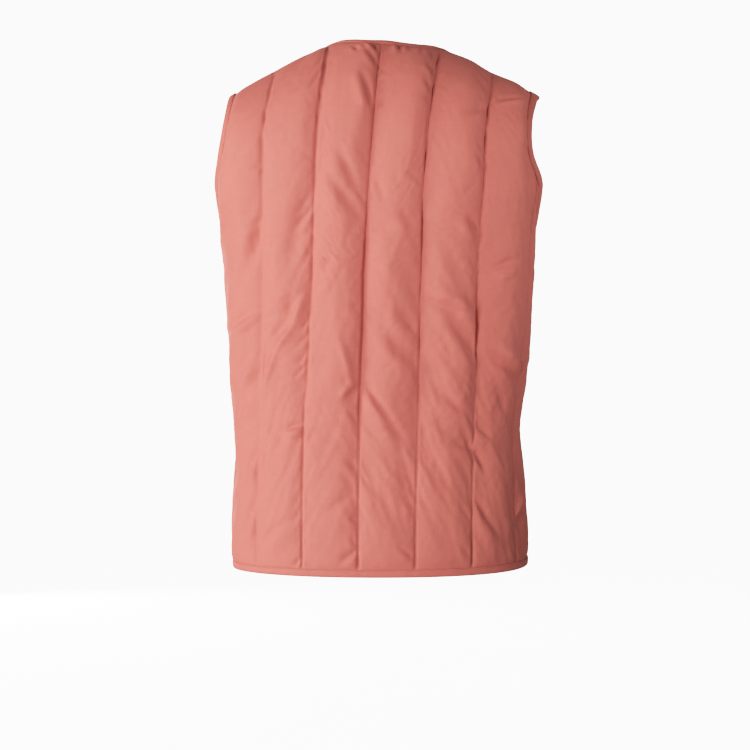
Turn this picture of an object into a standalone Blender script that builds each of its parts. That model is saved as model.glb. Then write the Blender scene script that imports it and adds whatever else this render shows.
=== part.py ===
"""Quilted gilet in its worn, hollow form: a collarless, sleeveless body in upright quilted channels, with
bound edges and a snapped front. Metres, +Z up. The front faces -Y and the wearer's left is +X. The origin
lies between the shoulder seams, level with their neck ends, where the wearer carries the garment.

Places on the cloth are given by two lengths. Reach is the distance along the cloth from the centre back or
centre front, positive to the wearer's left. Rise is the height up to the shoulder blades, and above them
it goes on along the roll of the cloth to the shoulder seam."""

import math
from collections import namedtuple

import bmesh
import bpy
import numpy as np
from mathutils import Vector

NAME = "quilted_gilet"

# Heights and lengths of the body
HEM_RISE = -0.680           # panel edge at the side seams
HEM_DROP = 0.006            # how much lower it hangs at the centre back and front
HEM_LIFT = 0.005            # how much higher it rides at the wearer's right side seam
UNDERARM_RISE = -0.250
BLADE_RISE = -0.150         # shoulder blades, where the roll to the shoulder begins
ROLL_LENGTH = 0.200         # from the blades along the cloth to the shoulder seam
TOP_RISE = BLADE_RISE + ROLL_LENGTH
ROUNDNESS = 2.4             # 2 gives ellipses, more gives squarer sections

# Shoulders and neck
SHOULDER_CENTRE = -0.008    # the shoulders lean a little to the wearer's right
SHOULDER_START = 0.080      # distance out at which the drop below is measured
SHOULDER_DROP = 0.011
SHOULDER_SLOPE = 0.42
SHOULDER_CURVE = 1.0        # how much steeper per metre the slope grows
SHOULDER_SOFTNESS = 0.020
SHOULDER_DIP = 0.0045       # the right shoulder sits lower between neck and tip
SHOULDER_DIP_ENDS = (0.005, 0.205)
SHOULDER_DIP_RAMP = 0.060
NECK_CENTRE = -0.0125
NECK_HALF = 0.0725
NECK_BACK_RISE = -0.014     # centre of the back neckline
NECK_CURVE = 2.2
NECK_FRONT_RISE = -0.185    # foot of the plain V at the front
NECK_FRONT_CURVE = 1.15

# Cloth, quilting and seams
WALL = 0.003                # shell, wadding and backing pressed flat
PUFF = 0.006                # how far a channel stands up in its middle
PUFF_POWER = 0.65           # under 1 gives sharp valleys and full middles
SEAM_GAP = 0.0003
CHANNEL_AT_HEM = 0.0715
CHANNEL_AT_NECK = 0.070
MIDDLE_LINE_AT_HEM = 0.0262     # reach of the quilting line nearest the centre back
MIDDLE_LINE_SHIFT = -0.0312     # how far it wanders on its way up to the neck
MIDDLE_LINE_CURVE = 2.2
BACK_LINES = (-3, -2, -1, 0, 1, 2)
LAP = 0.020                 # each front passes the centre front by this much
FRONT_LINES = (0, 1, 2, 3)  # the first one sews down the lap
LAP_DEPTH = 0.0068          # the right front lies this much inside the left
LAP_FADE = (0.030, 0.085)   # distances from the centre front over which that eases off
LAP_TOP = -0.115            # rise above which the fronts no longer lap
LAP_RUN_OUT = 0.100

# Bindings and snaps
BINDING_WIDTH = 0.0105
BINDING_LIP = 0.90          # share of the flat margin that the binding covers
BINDING_CLOTH = 0.0012
PUFF_FADE = 0.024           # puff grows over this length beyond a binding
SEAM_FADE = 0.020
BINDING_FLAT = 0.6          # share of the wall over which the binding's turn stays flat
SNAP_COUNT = 5
SNAP_RADIUS = 0.0065
SNAP_HEIGHT = 0.0026
SNAP_TOP = -0.205
SNAP_FOOT = -0.625
SNAP_GAP = 0.0005
SNAP_STEPS = 12

# Profile of a snap's domed cap, from its top to its back, as shares of its radius and height
Cap = namedtuple("Cap", "radius height")
SNAP_CAP = (
    Cap(0.0, 1.0),
    Cap(0.45, 0.96),
    Cap(0.78, 0.80),
    Cap(0.94, 0.55),
    Cap(1.0, 0.25),
    Cap(1.0, 0.0),
    Cap(0.0, 0.0),
)

# Grid of each panel
ROWS = 28
UNDERARM_ROW = 16
NECK_FOOT_ROW = 18
CHANNEL_SHARES = (0.07, 0.27, 0.50, 0.73, 0.93)
EDGE_SHARES = (0.25, 0.50, 0.75)
LEAST_COLUMN = 0.0035
CORNER_PULL = 3.0           # how tightly rows bend towards the sides
CORNER_STEP = 0.1           # share of a row by which a binding's corner section clears the seam
SHOULDER_ROWS = 0.8         # share of a panel's height above which columns lean to the neck's ends
EDGE_VALUES = 3             # outer, inner and normal at the edge come first in a station
RING_STEPS = 96             # steps in a quarter of a level section
EDGE_STEPS = 80             # samples along an edge before its rows are spaced
SLOPE_STEP = 0.002          # distance over which the cloth's direction is measured
WELD = 0.00001

# Level sections of the inside: half widths to each side, depths behind and before the side seams
Section = namedtuple("Section", "rise left right back front")
SECTIONS = (
    Section(-0.690, 0.185, 0.189, 0.120, 0.136),
    Section(-0.620, 0.188, 0.188, 0.119, 0.138),
    Section(-0.540, 0.183, 0.181, 0.114, 0.137),
    Section(-0.500, 0.184, 0.177, 0.112, 0.136),
    Section(-0.426, 0.186, 0.185, 0.112, 0.134),
    Section(-0.330, 0.193, 0.190, 0.117, 0.131),
    Section(-0.250, 0.199, 0.195, 0.124, 0.128),
    Section(-0.190, 0.215, 0.2085, 0.129, 0.124),
    Section(-0.150, 0.216, 0.2085, 0.130, 0.121),
)

# Armhole edges above the rounded underarm corner: distance out from the middle at each rise
Armhole = namedtuple("Armhole", "rise back_left back_right front_left front_right")
ARMHOLES = (
    Armhole(-0.190, 0.206, 0.203, 0.196, 0.192),
    Armhole(-0.150, 0.201, 0.190, 0.184, 0.180),
    Armhole(-0.096, 0.196, 0.189, 0.180, 0.178),
    Armhole(-0.037, 0.192, 0.196, 0.184, 0.190),
    Armhole(0.050, 0.190, 0.206, 0.190, 0.206),
)

# Largest drag folds: middle, half run across and up, height (negative for a trough) and breadth
Fold = namedtuple("Fold", "reach rise run climb height breadth")
BACK_FOLDS = (
    Fold(0.215, -0.300, 0.022, 0.045, -0.0030, 0.011),
    Fold(0.205, -0.505, 0.024, 0.040, -0.0035, 0.012),
    Fold(0.210, -0.600, 0.020, 0.045, -0.0030, 0.011),
    Fold(0.125, -0.440, -0.030, 0.026, -0.0025, 0.010),
    Fold(0.120, -0.610, -0.026, 0.034, -0.0025, 0.010),
    Fold(0.050, -0.200, 0.020, 0.036, -0.0025, 0.010),
    Fold(-0.020, -0.320, 0.026, 0.030, -0.0025, 0.010),
    Fold(-0.085, -0.360, 0.032, 0.026, -0.0030, 0.011),
    Fold(-0.090, -0.560, 0.024, 0.040, -0.0025, 0.010),
    Fold(-0.155, -0.570, 0.026, 0.045, -0.0030, 0.011),
    Fold(-0.215, -0.480, 0.024, 0.030, -0.0035, 0.013),
    Fold(-0.165, -0.105, 0.030, 0.004, -0.0025, 0.010),
)
FRONT_FOLDS = (
    Fold(0.210, -0.310, 0.024, 0.036, -0.0030, 0.012),
    Fold(0.195, -0.500, 0.026, -0.034, -0.0030, 0.012),
    Fold(0.125, -0.400, 0.026, 0.034, -0.0025, 0.011),
    Fold(0.065, -0.560, 0.022, -0.036, -0.0025, 0.011),
)

CLOTH_COLOUR = (0.58, 0.19, 0.14, 1.0)
BINDING_COLOUR = (0.53, 0.16, 0.13, 1.0)
SNAP_COLOUR = (0.62, 0.60, 0.57, 1.0)
CLOTH_ROUGHNESS = 0.75
SNAP_ROUGHNESS = 0.35

BACK, FRONT = 1, -1
LEFT, RIGHT = 1, -1

# inner, outer and normal hold a point for each column and row of a panel's grid
Panel = namedtuple("Panel", "inner outer normal neck_columns")


def smooth(share):
    """Eases from 0 to 1."""
    share = np.clip(share, 0.0, 1.0)
    return share * share * (3.0 - 2.0 * share)


def curve_through(knots, values, at):
    """Smooth curve through a table's rows, level at both ends."""
    knots = np.asarray(knots, float)
    values = np.asarray(values, float)
    slopes = np.zeros_like(values)
    slopes[1:-1] = (values[2:] - values[:-2]) / (knots[2:] - knots[:-2])
    at = np.clip(at, knots[0], knots[-1])
    place = np.clip(np.searchsorted(knots, at, side="right") - 1, 0, len(knots) - 2)
    span = knots[place + 1] - knots[place]
    t = (at - knots[place]) / span
    start = (1.0 + 2.0 * t) * (1.0 - t) ** 2 * values[place]
    end = t * t * (3.0 - 2.0 * t) * values[place + 1]
    leave = t * (1.0 - t) ** 2 * span * slopes[place]
    arrive = t * t * (t - 1.0) * span * slopes[place + 1]
    return start + end + leave + arrive


def unit(vectors):
    return vectors / np.linalg.norm(vectors, axis=-1, keepdims=True)


def column(table, name):
    return [getattr(row, name) for row in table]


def section(rise, name):
    return curve_through(column(SECTIONS, "rise"), column(SECTIONS, name), rise)


def quarter_ring(rise, side, face):
    """Quarter of a level section, from the centre line to the side seam: x, y and the length along it."""
    level = np.minimum(rise, BLADE_RISE)
    half = np.where(side > 0, section(level, "left"), section(level, "right"))[..., None]
    depth = section(level, "back" if face == BACK else "front")[..., None]
    turn = np.linspace(0.0, math.pi / 2.0, RING_STEPS + 1)
    x = half * np.sin(turn) ** (2.0 / ROUNDNESS)
    y = depth * np.cos(turn).clip(0.0) ** (2.0 / ROUNDNESS)
    steps = np.hypot(np.diff(x), np.diff(y))
    length = np.concatenate([np.zeros_like(half), np.cumsum(steps, axis=-1)], axis=-1)
    return x, y, length


def read_off(scale, values, target):
    """Reads each row of values at the place where that row of scale reaches the target."""
    index = np.clip((scale < target[..., None]).sum(axis=-1), 1, scale.shape[-1] - 1)

    def pick(table, at):
        return np.take_along_axis(table, at[..., None], axis=-1)[..., 0]

    low = pick(scale, index - 1)
    share = np.clip((target - low) / (pick(scale, index) - low), 0.0, 1.0)
    return [pick(v, index - 1) * (1.0 - share) + pick(v, index) * share for v in values]


def side_reach(rise, side, face):
    """Reach of the side seam."""
    rise = np.asarray(rise, float)
    return quarter_ring(rise, np.full_like(rise, side), face)[2][..., -1]


def reach_of(x, rise, face):
    """Reach of the place on the cloth that lies at x."""
    x, rise = np.broadcast_arrays(np.asarray(x, float), np.asarray(rise, float))
    ring_x, _, length = quarter_ring(rise, x, face)
    return np.copysign(read_off(ring_x, [length], np.abs(x))[0], x)


def ridge_height(x):
    """Height of the shoulder line above each x."""
    out = np.hypot(x - SHOULDER_CENTRE, SHOULDER_SOFTNESS) - SHOULDER_START
    from_neck = smooth((-x - SHOULDER_DIP_ENDS[0]) / SHOULDER_DIP_RAMP)
    from_tip = smooth((SHOULDER_DIP_ENDS[1] + x) / SHOULDER_DIP_RAMP)
    dip = SHOULDER_DIP * from_neck * from_tip
    return -(SHOULDER_DROP + SHOULDER_SLOPE * out + SHOULDER_CURVE * out * out + dip)


def surface(reach, rise, face):
    """Point on the inside of the cloth."""
    reach, rise = np.broadcast_arrays(np.asarray(reach, float), np.asarray(rise, float))
    ring_x, ring_y, length = quarter_ring(rise, reach, face)
    x, y = read_off(length, [ring_x, ring_y], np.abs(reach))
    x = np.copysign(x, reach)
    roll = np.clip((rise - BLADE_RISE) / ROLL_LENGTH, 0.0, 1.0) * math.pi / 2.0
    z = np.minimum(rise, BLADE_RISE) + (ridge_height(x) - BLADE_RISE) * np.sin(roll)
    return np.stack([x, face * (y * np.cos(roll) + SEAM_GAP / 2.0), z], axis=-1)


def directions(reach, rise, face):
    """How the cloth runs across and up at a place, measured just inside its seams."""
    step = SLOPE_STEP
    limit = np.where(reach > 0, side_reach(rise, LEFT, face), side_reach(rise, RIGHT, face)) - 2.0 * step
    reach = np.copysign(np.minimum(np.abs(reach), limit), reach)
    rise = np.minimum(rise, TOP_RISE - 2.0 * step)
    across = surface(reach + step, rise, face) - surface(reach - step, rise, face)
    up = surface(reach, rise + step, face) - surface(reach, rise - step, face)
    return across / (2.0 * step), up / (2.0 * step)


def outward(reach, rise, face):
    """Way that the cloth faces."""
    across, up = directions(reach, rise, face)
    return unit(-face * np.cross(across, up))


def inset(reach, rise, face, turn):
    """Edge moved into the panel by the binding's width, at right angles to itself on the cloth."""
    across, up = directions(reach, rise, face)
    along_reach, along_rise = np.gradient(reach), np.gradient(rise)
    e = (across * across).sum(axis=-1)
    f = (across * up).sum(axis=-1)
    g = (up * up).sum(axis=-1)
    move_reach = -turn * (f * along_reach + g * along_rise)
    move_rise = turn * (e * along_reach + f * along_rise)
    length = np.sqrt(e * move_reach**2 + 2.0 * f * move_reach * move_rise + g * move_rise**2)
    scale = BINDING_WIDTH / length
    return reach + scale * move_reach, rise + scale * move_rise


def hem_rise(reach, face):
    """Height of the hem. Past a side seam it is that seam's."""
    side = side_reach(np.full_like(reach, HEM_RISE), LEFT, face)
    share = np.clip(reach / side, -1.0, 1.0)
    return HEM_RISE - HEM_DROP * (1.0 - share**2) + HEM_LIFT * np.clip(-share, 0.0, 1.0) ** 4


def spaced(reach, rise, face, count, margin_first):
    """Points evenly along an edge, but for one that is a binding's width from its first or last end."""
    length = np.linalg.norm(np.diff(surface(reach, rise, face), axis=0), axis=1).cumsum()
    length = np.concatenate([[0.0], length])
    margin = BINDING_WIDTH / length[-1]
    if margin_first:
        shares = np.concatenate([[0.0], np.linspace(margin, 1.0, count)])
    else:
        shares = np.concatenate([np.linspace(0.0, 1.0 - margin, count), [1.0]])
    at = shares * length[-1]
    return np.interp(at, length, reach), np.interp(at, length, rise)


def joined_edge(lower, upper, face, corner_row):
    """One side of a panel, from hem to shoulder, with a row at the corner between its two stretches."""
    low_reach, low_rise = spaced(*lower, face, corner_row, True)
    top_reach, top_rise = spaced(*upper, face, ROWS - corner_row, False)
    return np.concatenate([low_reach, top_reach[1:]]), np.concatenate([low_rise, top_rise[1:]])


def side_edge(face, side):
    """Side seam and armhole of a panel."""
    seam_rise = np.linspace(hem_rise(np.array([side * 1.0]), face)[0], UNDERARM_RISE, EDGE_STEPS)
    seam_reach = side * side_reach(seam_rise, side, face)
    name = ("back" if face == BACK else "front") + ("_left" if side == LEFT else "_right")
    rises = column(ARMHOLES, "rise")
    edge_rise = np.linspace(rises[0], rises[-1], EDGE_STEPS)
    edge_x = side * curve_through(rises, column(ARMHOLES, name), edge_rise)
    edge_reach = reach_of(edge_x, edge_rise, face)
    turn = np.linspace(0.0, math.pi / 2.0, EDGE_STEPS)[:-1]
    corner_reach = seam_reach[-1] + (edge_reach[0] - seam_reach[-1]) * np.sin(turn)
    corner_rise = UNDERARM_RISE + (rises[0] - UNDERARM_RISE) * (1.0 - np.cos(turn))
    armhole = np.concatenate([corner_reach, edge_reach]), np.concatenate([corner_rise, edge_rise])
    return joined_edge((seam_reach, seam_rise), armhole, face, UNDERARM_ROW)


def front_edge(side):
    """Front edge, a lap past the centre, and the slanting neckline above it."""
    start = hem_rise(np.array([-side * LAP]), FRONT)[0]
    straight_rise = np.linspace(start, NECK_FRONT_RISE, EDGE_STEPS)
    straight_reach = np.full_like(straight_rise, -side * LAP)
    share = np.linspace(0.0, 1.0, EDGE_STEPS)
    neck_rise = NECK_FRONT_RISE + (TOP_RISE - NECK_FRONT_RISE) * share
    neck_end = reach_of(NECK_CENTRE + side * NECK_HALF, TOP_RISE, FRONT)
    neck_reach = -side * LAP + (neck_end + side * LAP) * (1.0 - (1.0 - share) ** NECK_FRONT_CURVE)
    return joined_edge((straight_reach, straight_rise), (neck_reach, neck_rise), FRONT, NECK_FOOT_ROW)


def back_line(number, rise):
    """Reach of a quilting line of the back."""
    share = np.clip((rise - HEM_RISE) / (NECK_BACK_RISE - HEM_RISE), 0.0, 1.0)
    middle = MIDDLE_LINE_AT_HEM + MIDDLE_LINE_SHIFT * share**MIDDLE_LINE_CURVE
    return middle + number * (CHANNEL_AT_HEM + (CHANNEL_AT_NECK - CHANNEL_AT_HEM) * share)


def front_line(number, side):
    return side * (LAP + number * CHANNEL_AT_HEM)


def neck_rise_at(reach):
    """Top edge of the back: the neckline, and the shoulder seam on both sides of it."""
    x = surface(reach, np.full_like(reach, TOP_RISE), BACK)[..., 0]
    out = np.clip(np.abs(x - NECK_CENTRE) / NECK_HALF, 0.0, 1.0)
    return NECK_BACK_RISE + (TOP_RISE - NECK_BACK_RISE) * out**NECK_CURVE


def columns_between(low, high, lines):
    """Reach of every column in a row: the flat margins' edges, the quilting lines, and some between them."""
    shares = [EDGE_SHARES] + [CHANNEL_SHARES] * (len(lines) - 1) + [EDGE_SHARES]
    before = np.cumsum([len(s) + 1 for s in shares])
    rails = np.clip(lines, low + before[:-1] * LEAST_COLUMN, high - (before[-1] - before[:-1]) * LEAST_COLUMN)
    rails = np.concatenate([[low], rails, [high]])
    found = [low]
    for start, end, between in zip(rails[:-1], rails[1:], shares):
        found += [start + (end - start) * share for share in between]
        found.append(end)
    return np.array(found)


def panel_places(face, low_edge, high_edge, top_rise, lines_at, neck_points=()):
    """Reach and rise of every grid point of a panel, columns first, rows from the hem up."""
    low_reach, low_rise = low_edge
    high_reach, high_rise = high_edge
    margin = BINDING_WIDTH

    def edge_row(row, at_rise):
        inner = columns_between(low_reach[row] + margin, high_reach[row] - margin, lines_at(at_rise))
        return np.concatenate([[low_reach[row]], inner, [high_reach[row]]])

    top = edge_row(ROWS, TOP_RISE)
    neck_columns = []
    for point in neck_points:
        nearest = int(np.argmin(np.abs(top - point)))
        top[nearest] = point
        neck_columns.append(nearest)
    shift = top - edge_row(ROWS, TOP_RISE)
    bottom = edge_row(0, HEM_RISE)
    reach = np.zeros((len(top), ROWS + 1))
    rise = np.zeros_like(reach)
    reach[:, 0], rise[:, 0] = bottom, hem_rise(bottom, face)
    reach[:, ROWS], rise[:, ROWS] = top, top_rise(top)
    rise[0], rise[-1] = low_rise, high_rise
    reach[0], reach[-1] = low_reach, high_reach
    reach[1, :], rise[1, :] = inset(low_reach, low_rise, face, -1)
    reach[-2, :], rise[-2, :] = inset(high_reach, high_rise, face, 1)
    reach[1:-1, 0], rise[1:-1, 0] = bottom[1:-1], hem_rise(bottom, face)[1:-1]
    reach[1:-1, ROWS], rise[1:-1, ROWS] = top[1:-1], top_rise(top)[1:-1]
    for row, turn in ((0, 1), (ROWS, -1)):
        moved = inset(reach[:, row], rise[:, row], face, turn)
        inner_row = 1 if row == 0 else ROWS - 1
        reach[1:-1, inner_row], rise[1:-1, inner_row] = moved[0][1:-1], moved[1][1:-1]
    spread = (bottom[1:-1] - bottom[1]) / (bottom[-2] - bottom[1])
    low_pull = (1.0 - spread) ** CORNER_PULL
    high_pull = spread**CORNER_PULL
    for row in range(2, ROWS - 1):
        share = (row - 1.0) / (ROWS - 2.0)
        base = rise[1:-1, 1] + (rise[1:-1, ROWS - 1] - rise[1:-1, 1]) * share
        level = base + low_pull * (rise[1, row] - base[0]) + high_pull * (rise[-2, row] - base[-1])
        middle = level[len(level) // 2]
        places = columns_between(reach[1, row], reach[-2, row], lines_at(middle))
        near_top = smooth((share - SHOULDER_ROWS) / (1.0 - SHOULDER_ROWS))
        reach[2:-2, row] = places[1:-1] + near_top * shift[2:-2]
        rise[2:-2, row] = level[1:-1]
    return reach, rise, neck_columns


def nearest_distance(points, edge):
    """Distance from each point to an edge given by points close together."""
    quarters = (0.0, 0.25, 0.5, 0.75)
    dense = np.concatenate([edge[:-1] + (edge[1:] - edge[:-1]) * share for share in quarters])
    dense = np.concatenate([dense, edge[-1:]])
    return np.linalg.norm(points[..., None, :] - dense, axis=-1).min(axis=-1)


def channel_puff(reach, lines):
    """Pillow shape across the channels, with 0 on each line. The lines run in order of reach."""
    height = np.zeros_like(reach)
    for low, high in zip(lines[:-1], lines[1:]):
        width = high - low
        phase = (reach - low) / width
        inside = (phase > 0.0) & (phase < 1.0)
        pillow = np.sin(math.pi * np.clip(phase, 0.0, 1.0)) ** PUFF_POWER
        height = np.where(inside, pillow * np.minimum(1.0, width / CHANNEL_AT_HEM), height)
    return PUFF * height


def fold_height(reach, rise, folds):
    """Drag folds as soft troughs along short slanting runs."""
    height = np.zeros_like(reach)
    for fold in folds:
        run = math.hypot(fold.run, fold.climb)
        across, up = reach - fold.reach, rise - fold.rise
        along = (across * fold.run + up * fold.climb) / run
        off = (across * fold.climb - up * fold.run) / run
        taper = np.clip(1.0 - (along / run) ** 2, 0.0, 1.0)
        height += fold.height * taper * np.exp(-((off / fold.breadth) ** 2))
    return height


def cloth_panel(reach, rise, face, lines, folds, bound_edges, seam_edges, inward, neck_columns=()):
    """Wall of a quilted panel: a plain inside, with channels and folds raised in the outside."""
    normal = outward(reach, rise, face)
    inner = surface(reach, rise, face)
    bound = np.min([nearest_distance(inner, edge) for edge in bound_edges], axis=0)
    seam = np.min([nearest_distance(inner, edge) for edge in seam_edges], axis=0)
    room = smooth((bound - BINDING_WIDTH) / PUFF_FADE) * np.clip(seam / SEAM_FADE, 0.0, 1.0) ** PUFF_POWER
    puff = np.maximum(channel_puff(reach, lines) + fold_height(reach, rise, folds), 0.0) * room
    inner = inner - normal * inward[..., None]
    return Panel(inner, inner + normal * (WALL + puff)[..., None], normal, neck_columns)


def make_back():
    low, high = side_edge(BACK, RIGHT), side_edge(BACK, LEFT)
    neck_points = [reach_of(NECK_CENTRE + side * NECK_HALF, TOP_RISE, BACK) for side in (RIGHT, LEFT)]

    def lines_at(rise):
        return np.array([back_line(number, rise) for number in BACK_LINES])

    reach, rise, neck = panel_places(BACK, low, high, neck_rise_at, lines_at, neck_points)
    lines = [-side_reach(rise, RIGHT, BACK)]
    lines += [back_line(number, rise) for number in BACK_LINES]
    lines.append(side_reach(rise, LEFT, BACK))
    inside = surface(reach, rise, BACK)
    bound = [inside[:, 0], inside[0, UNDERARM_ROW:], inside[-1, UNDERARM_ROW:]]
    bound.append(inside[neck[0] : neck[1] + 1, ROWS])
    seams = [inside[0, : UNDERARM_ROW + 1], inside[-1, : UNDERARM_ROW + 1]]
    seams += [inside[: neck[0] + 1, ROWS], inside[neck[1] :, ROWS]]
    return cloth_panel(reach, rise, BACK, lines, BACK_FOLDS, bound, seams, np.zeros_like(reach), neck)


def make_front(side):
    """Front panel. Its columns run with growing reach, so the left one starts at its front edge."""
    edges = [front_edge(side), side_edge(FRONT, side)]
    if side == RIGHT:
        edges.reverse()

    def lines_at(rise):
        return np.sort([front_line(number, side) for number in FRONT_LINES])

    def shoulder(reach):
        return np.full_like(reach, TOP_RISE)

    reach, rise, _ = panel_places(FRONT, edges[0], edges[1], shoulder, lines_at)
    outer_line = side * side_reach(rise, side, FRONT)
    lines = [np.full_like(reach, front_line(number, side)) for number in FRONT_LINES] + [outer_line]
    if side == RIGHT:
        lines.reverse()
    folds = [fold._replace(reach=side * fold.reach, run=side * fold.run) for fold in FRONT_FOLDS]
    inside = surface(reach, rise, FRONT)
    opening, away = (0, -1) if side == LEFT else (-1, 0)
    bound = [inside[:, 0], inside[opening], inside[away, UNDERARM_ROW:]]
    seams = [inside[away, : UNDERARM_ROW + 1], inside[:, ROWS]]
    inward = np.zeros_like(reach)
    if side == RIGHT:
        from_centre = -reach
        inward = LAP_DEPTH * (1.0 - smooth((from_centre - LAP_FADE[0]) / (LAP_FADE[1] - LAP_FADE[0])))
        inward = inward * (1.0 - smooth((rise - LAP_TOP) / LAP_RUN_OUT))
    return cloth_panel(reach, rise, FRONT, lines, folds, bound, seams, inward)


def material(name, colour, roughness, metallic=0.0):
    made = bpy.data.materials.new(name)
    made.use_nodes = True
    shader = made.node_tree.nodes["Principled BSDF"]
    shader.inputs["Base Color"].default_value = colour
    shader.inputs["Roughness"].default_value = roughness
    shader.inputs["Metallic"].default_value = metallic
    return made


def finish_object(name, mesh, finish, collection):
    obj = bpy.data.objects.new(name, mesh)
    mesh.materials.append(finish)
    mesh.shade_smooth()
    collection.objects.link(obj)


def grid_place(vert, columns, rows):
    """Column and row of a vertex of a fresh grid that reaches from -1 to 1."""
    return round((vert.co.x + 1.0) / 2.0 * (columns - 1)), round((vert.co.y + 1.0) / 2.0 * (rows - 1))


def split_low(bm, faces):
    """Splits four-sided faces along the diagonal that lies deeper in the solid, so that a binding and the
    edge inside it keep their gap where they twist."""
    bm.normal_update()
    for face in faces:
        a, b, c, d = face.verts
        lean = ((a.co + c.co) - (b.co + d.co)).dot(face.normal)
        bmesh.utils.face_split(face, *((a, c) if lean < 0.0 else (b, d)))


def panel_mesh(name, panel):
    """Grid raised into a wall, its two sides set to the inside and outside of the cloth."""
    columns, rows = panel.inner.shape[:2]
    bm = bmesh.new()
    bmesh.ops.create_grid(bm, x_segments=columns - 1, y_segments=rows - 1, size=1.0)
    raised = bmesh.ops.extrude_face_region(bm, geom=bm.faces[:], use_keep_orig=True)["geom"]
    outside = {element for element in raised if isinstance(element, bmesh.types.BMVert)}
    places = {vert: grid_place(vert, columns, rows) for vert in bm.verts}
    for vert, (i, j) in places.items():
        vert.co = panel.outer[i, j] if vert in outside else panel.inner[i, j]
    bmesh.ops.recalc_face_normals(bm, faces=bm.faces)

    def in_margin(face):
        across = [places[vert][0] for vert in face.verts]
        up = [places[vert][1] for vert in face.verts]
        return max(across) < 2 or min(across) > columns - 3 or max(up) < 2 or min(up) > rows - 3

    split_low(bm, [face for face in bm.faces if in_margin(face)])
    mesh = bpy.data.meshes.new(name)
    bm.to_mesh(mesh)
    bm.free()
    return mesh


def edge_stations(panel, edge, margin):
    """Where a binding crosses a panel's edge: for each station the outer, inner and normal at the edge, the
    same at the margin, and the way that the edge faces."""
    at_edge = [grid[edge] for grid in (panel.outer, panel.inner, panel.normal)]
    at_margin = [grid[margin] for grid in (panel.outer, panel.inner, panel.normal)]
    away = at_edge[0] + at_edge[1] - at_margin[0] - at_margin[1]
    return np.stack(at_edge + at_margin + [unit(away)], axis=-2)


def seam_station(panel, corner, beside):
    """Station on a seam's end, with its margin a binding's width down the seam towards the point beside."""
    length = np.linalg.norm(panel.outer[beside] - panel.outer[corner])
    share = BINDING_WIDTH / length
    at_corner = [grid[corner] for grid in (panel.outer, panel.inner, panel.normal)]
    at_margin = [grid[corner] + (grid[beside] - grid[corner]) * share
                 for grid in (panel.outer, panel.inner, panel.normal)]
    away = at_corner[0] + at_corner[1] - at_margin[0] - at_margin[1]
    return np.stack(at_corner + at_margin + [unit(away)], axis=-2)[None]


def clear_of_seam(run, seam):
    """Run whose first station, at a panel's corner, is moved on a little to leave room for the seam's own."""
    run = run.copy()
    run[0, :EDGE_VALUES] += (run[1, :EDGE_VALUES] - run[0, :EDGE_VALUES]) * CORNER_STEP
    run[0, -1] = unit(run[1, -1] + seam[0, -1])
    return run


def meet(first, second):
    """Two runs of stations joined at a seam, with one station between them."""
    between = (first[-1:] + second[:1]) / 2.0
    return np.concatenate([first[:-1], between, second[1:]])


def binding_sections(stations):
    """Closed C-shaped section of folded cloth round the edge at each station."""
    outer, inner, normal, deep_outer, deep_inner, deep_normal, away = np.moveaxis(stations, -2, 0)
    lip_outer = outer + (deep_outer - outer) * BINDING_LIP
    lip_inner = inner + (deep_inner - inner) * BINDING_LIP
    middle = (outer + inner) / 2.0
    near, far = SEAM_GAP, SEAM_GAP + BINDING_CLOTH
    round_off = normal * WALL * BINDING_FLAT / 2.0
    points = [
        lip_outer + deep_normal * near,
        lip_outer + deep_normal * far,
        outer + normal * far + away * near,
        middle + round_off + away * far,
        middle - round_off + away * far,
        inner - normal * far + away * near,
        lip_inner - deep_normal * far,
        lip_inner - deep_normal * near,
        inner - normal * near + away * near,
        outer + normal * near + away * near,
    ]
    return np.stack(points, axis=1)


def binding_mesh(name, stations, closed):
    """Grid rolled into a tube through the sections, with its ends joined or filled."""
    sections = binding_sections(stations)
    sections = np.concatenate([sections, sections[:, :1]], axis=1)
    if closed:
        sections = np.concatenate([sections, sections[:1]], axis=0)
    columns, rows = sections.shape[:2]
    bm = bmesh.new()
    bmesh.ops.create_grid(bm, x_segments=columns - 1, y_segments=rows - 1, size=1.0)
    places = {vert: grid_place(vert, columns, rows) for vert in bm.verts}
    for vert, (i, j) in places.items():
        vert.co = sections[i, j]
    bmesh.ops.remove_doubles(bm, verts=bm.verts, dist=WELD)
    if not closed:
        bmesh.ops.holes_fill(bm, edges=[edge for edge in bm.edges if edge.is_boundary])
    bmesh.ops.recalc_face_normals(bm, faces=bm.faces)
    split_low(bm, [face for face in bm.faces if len(face.verts) == 4])
    mesh = bpy.data.meshes.new(name)
    bm.to_mesh(mesh)
    bm.free()
    return mesh


def hem_stations(back, left, right):
    """Strip from the right front's opening, round the back, to the left front's opening."""
    right_run = edge_stations(right, (slice(-2, None, -1), 0), (slice(-2, None, -1), 1))
    back_run = edge_stations(back, (slice(None), 0), (slice(None), 1))
    left_run = edge_stations(left, (slice(None, 0, -1), 0), (slice(None, 0, -1), 1))
    return meet(meet(right_run, back_run), left_run)


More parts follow.
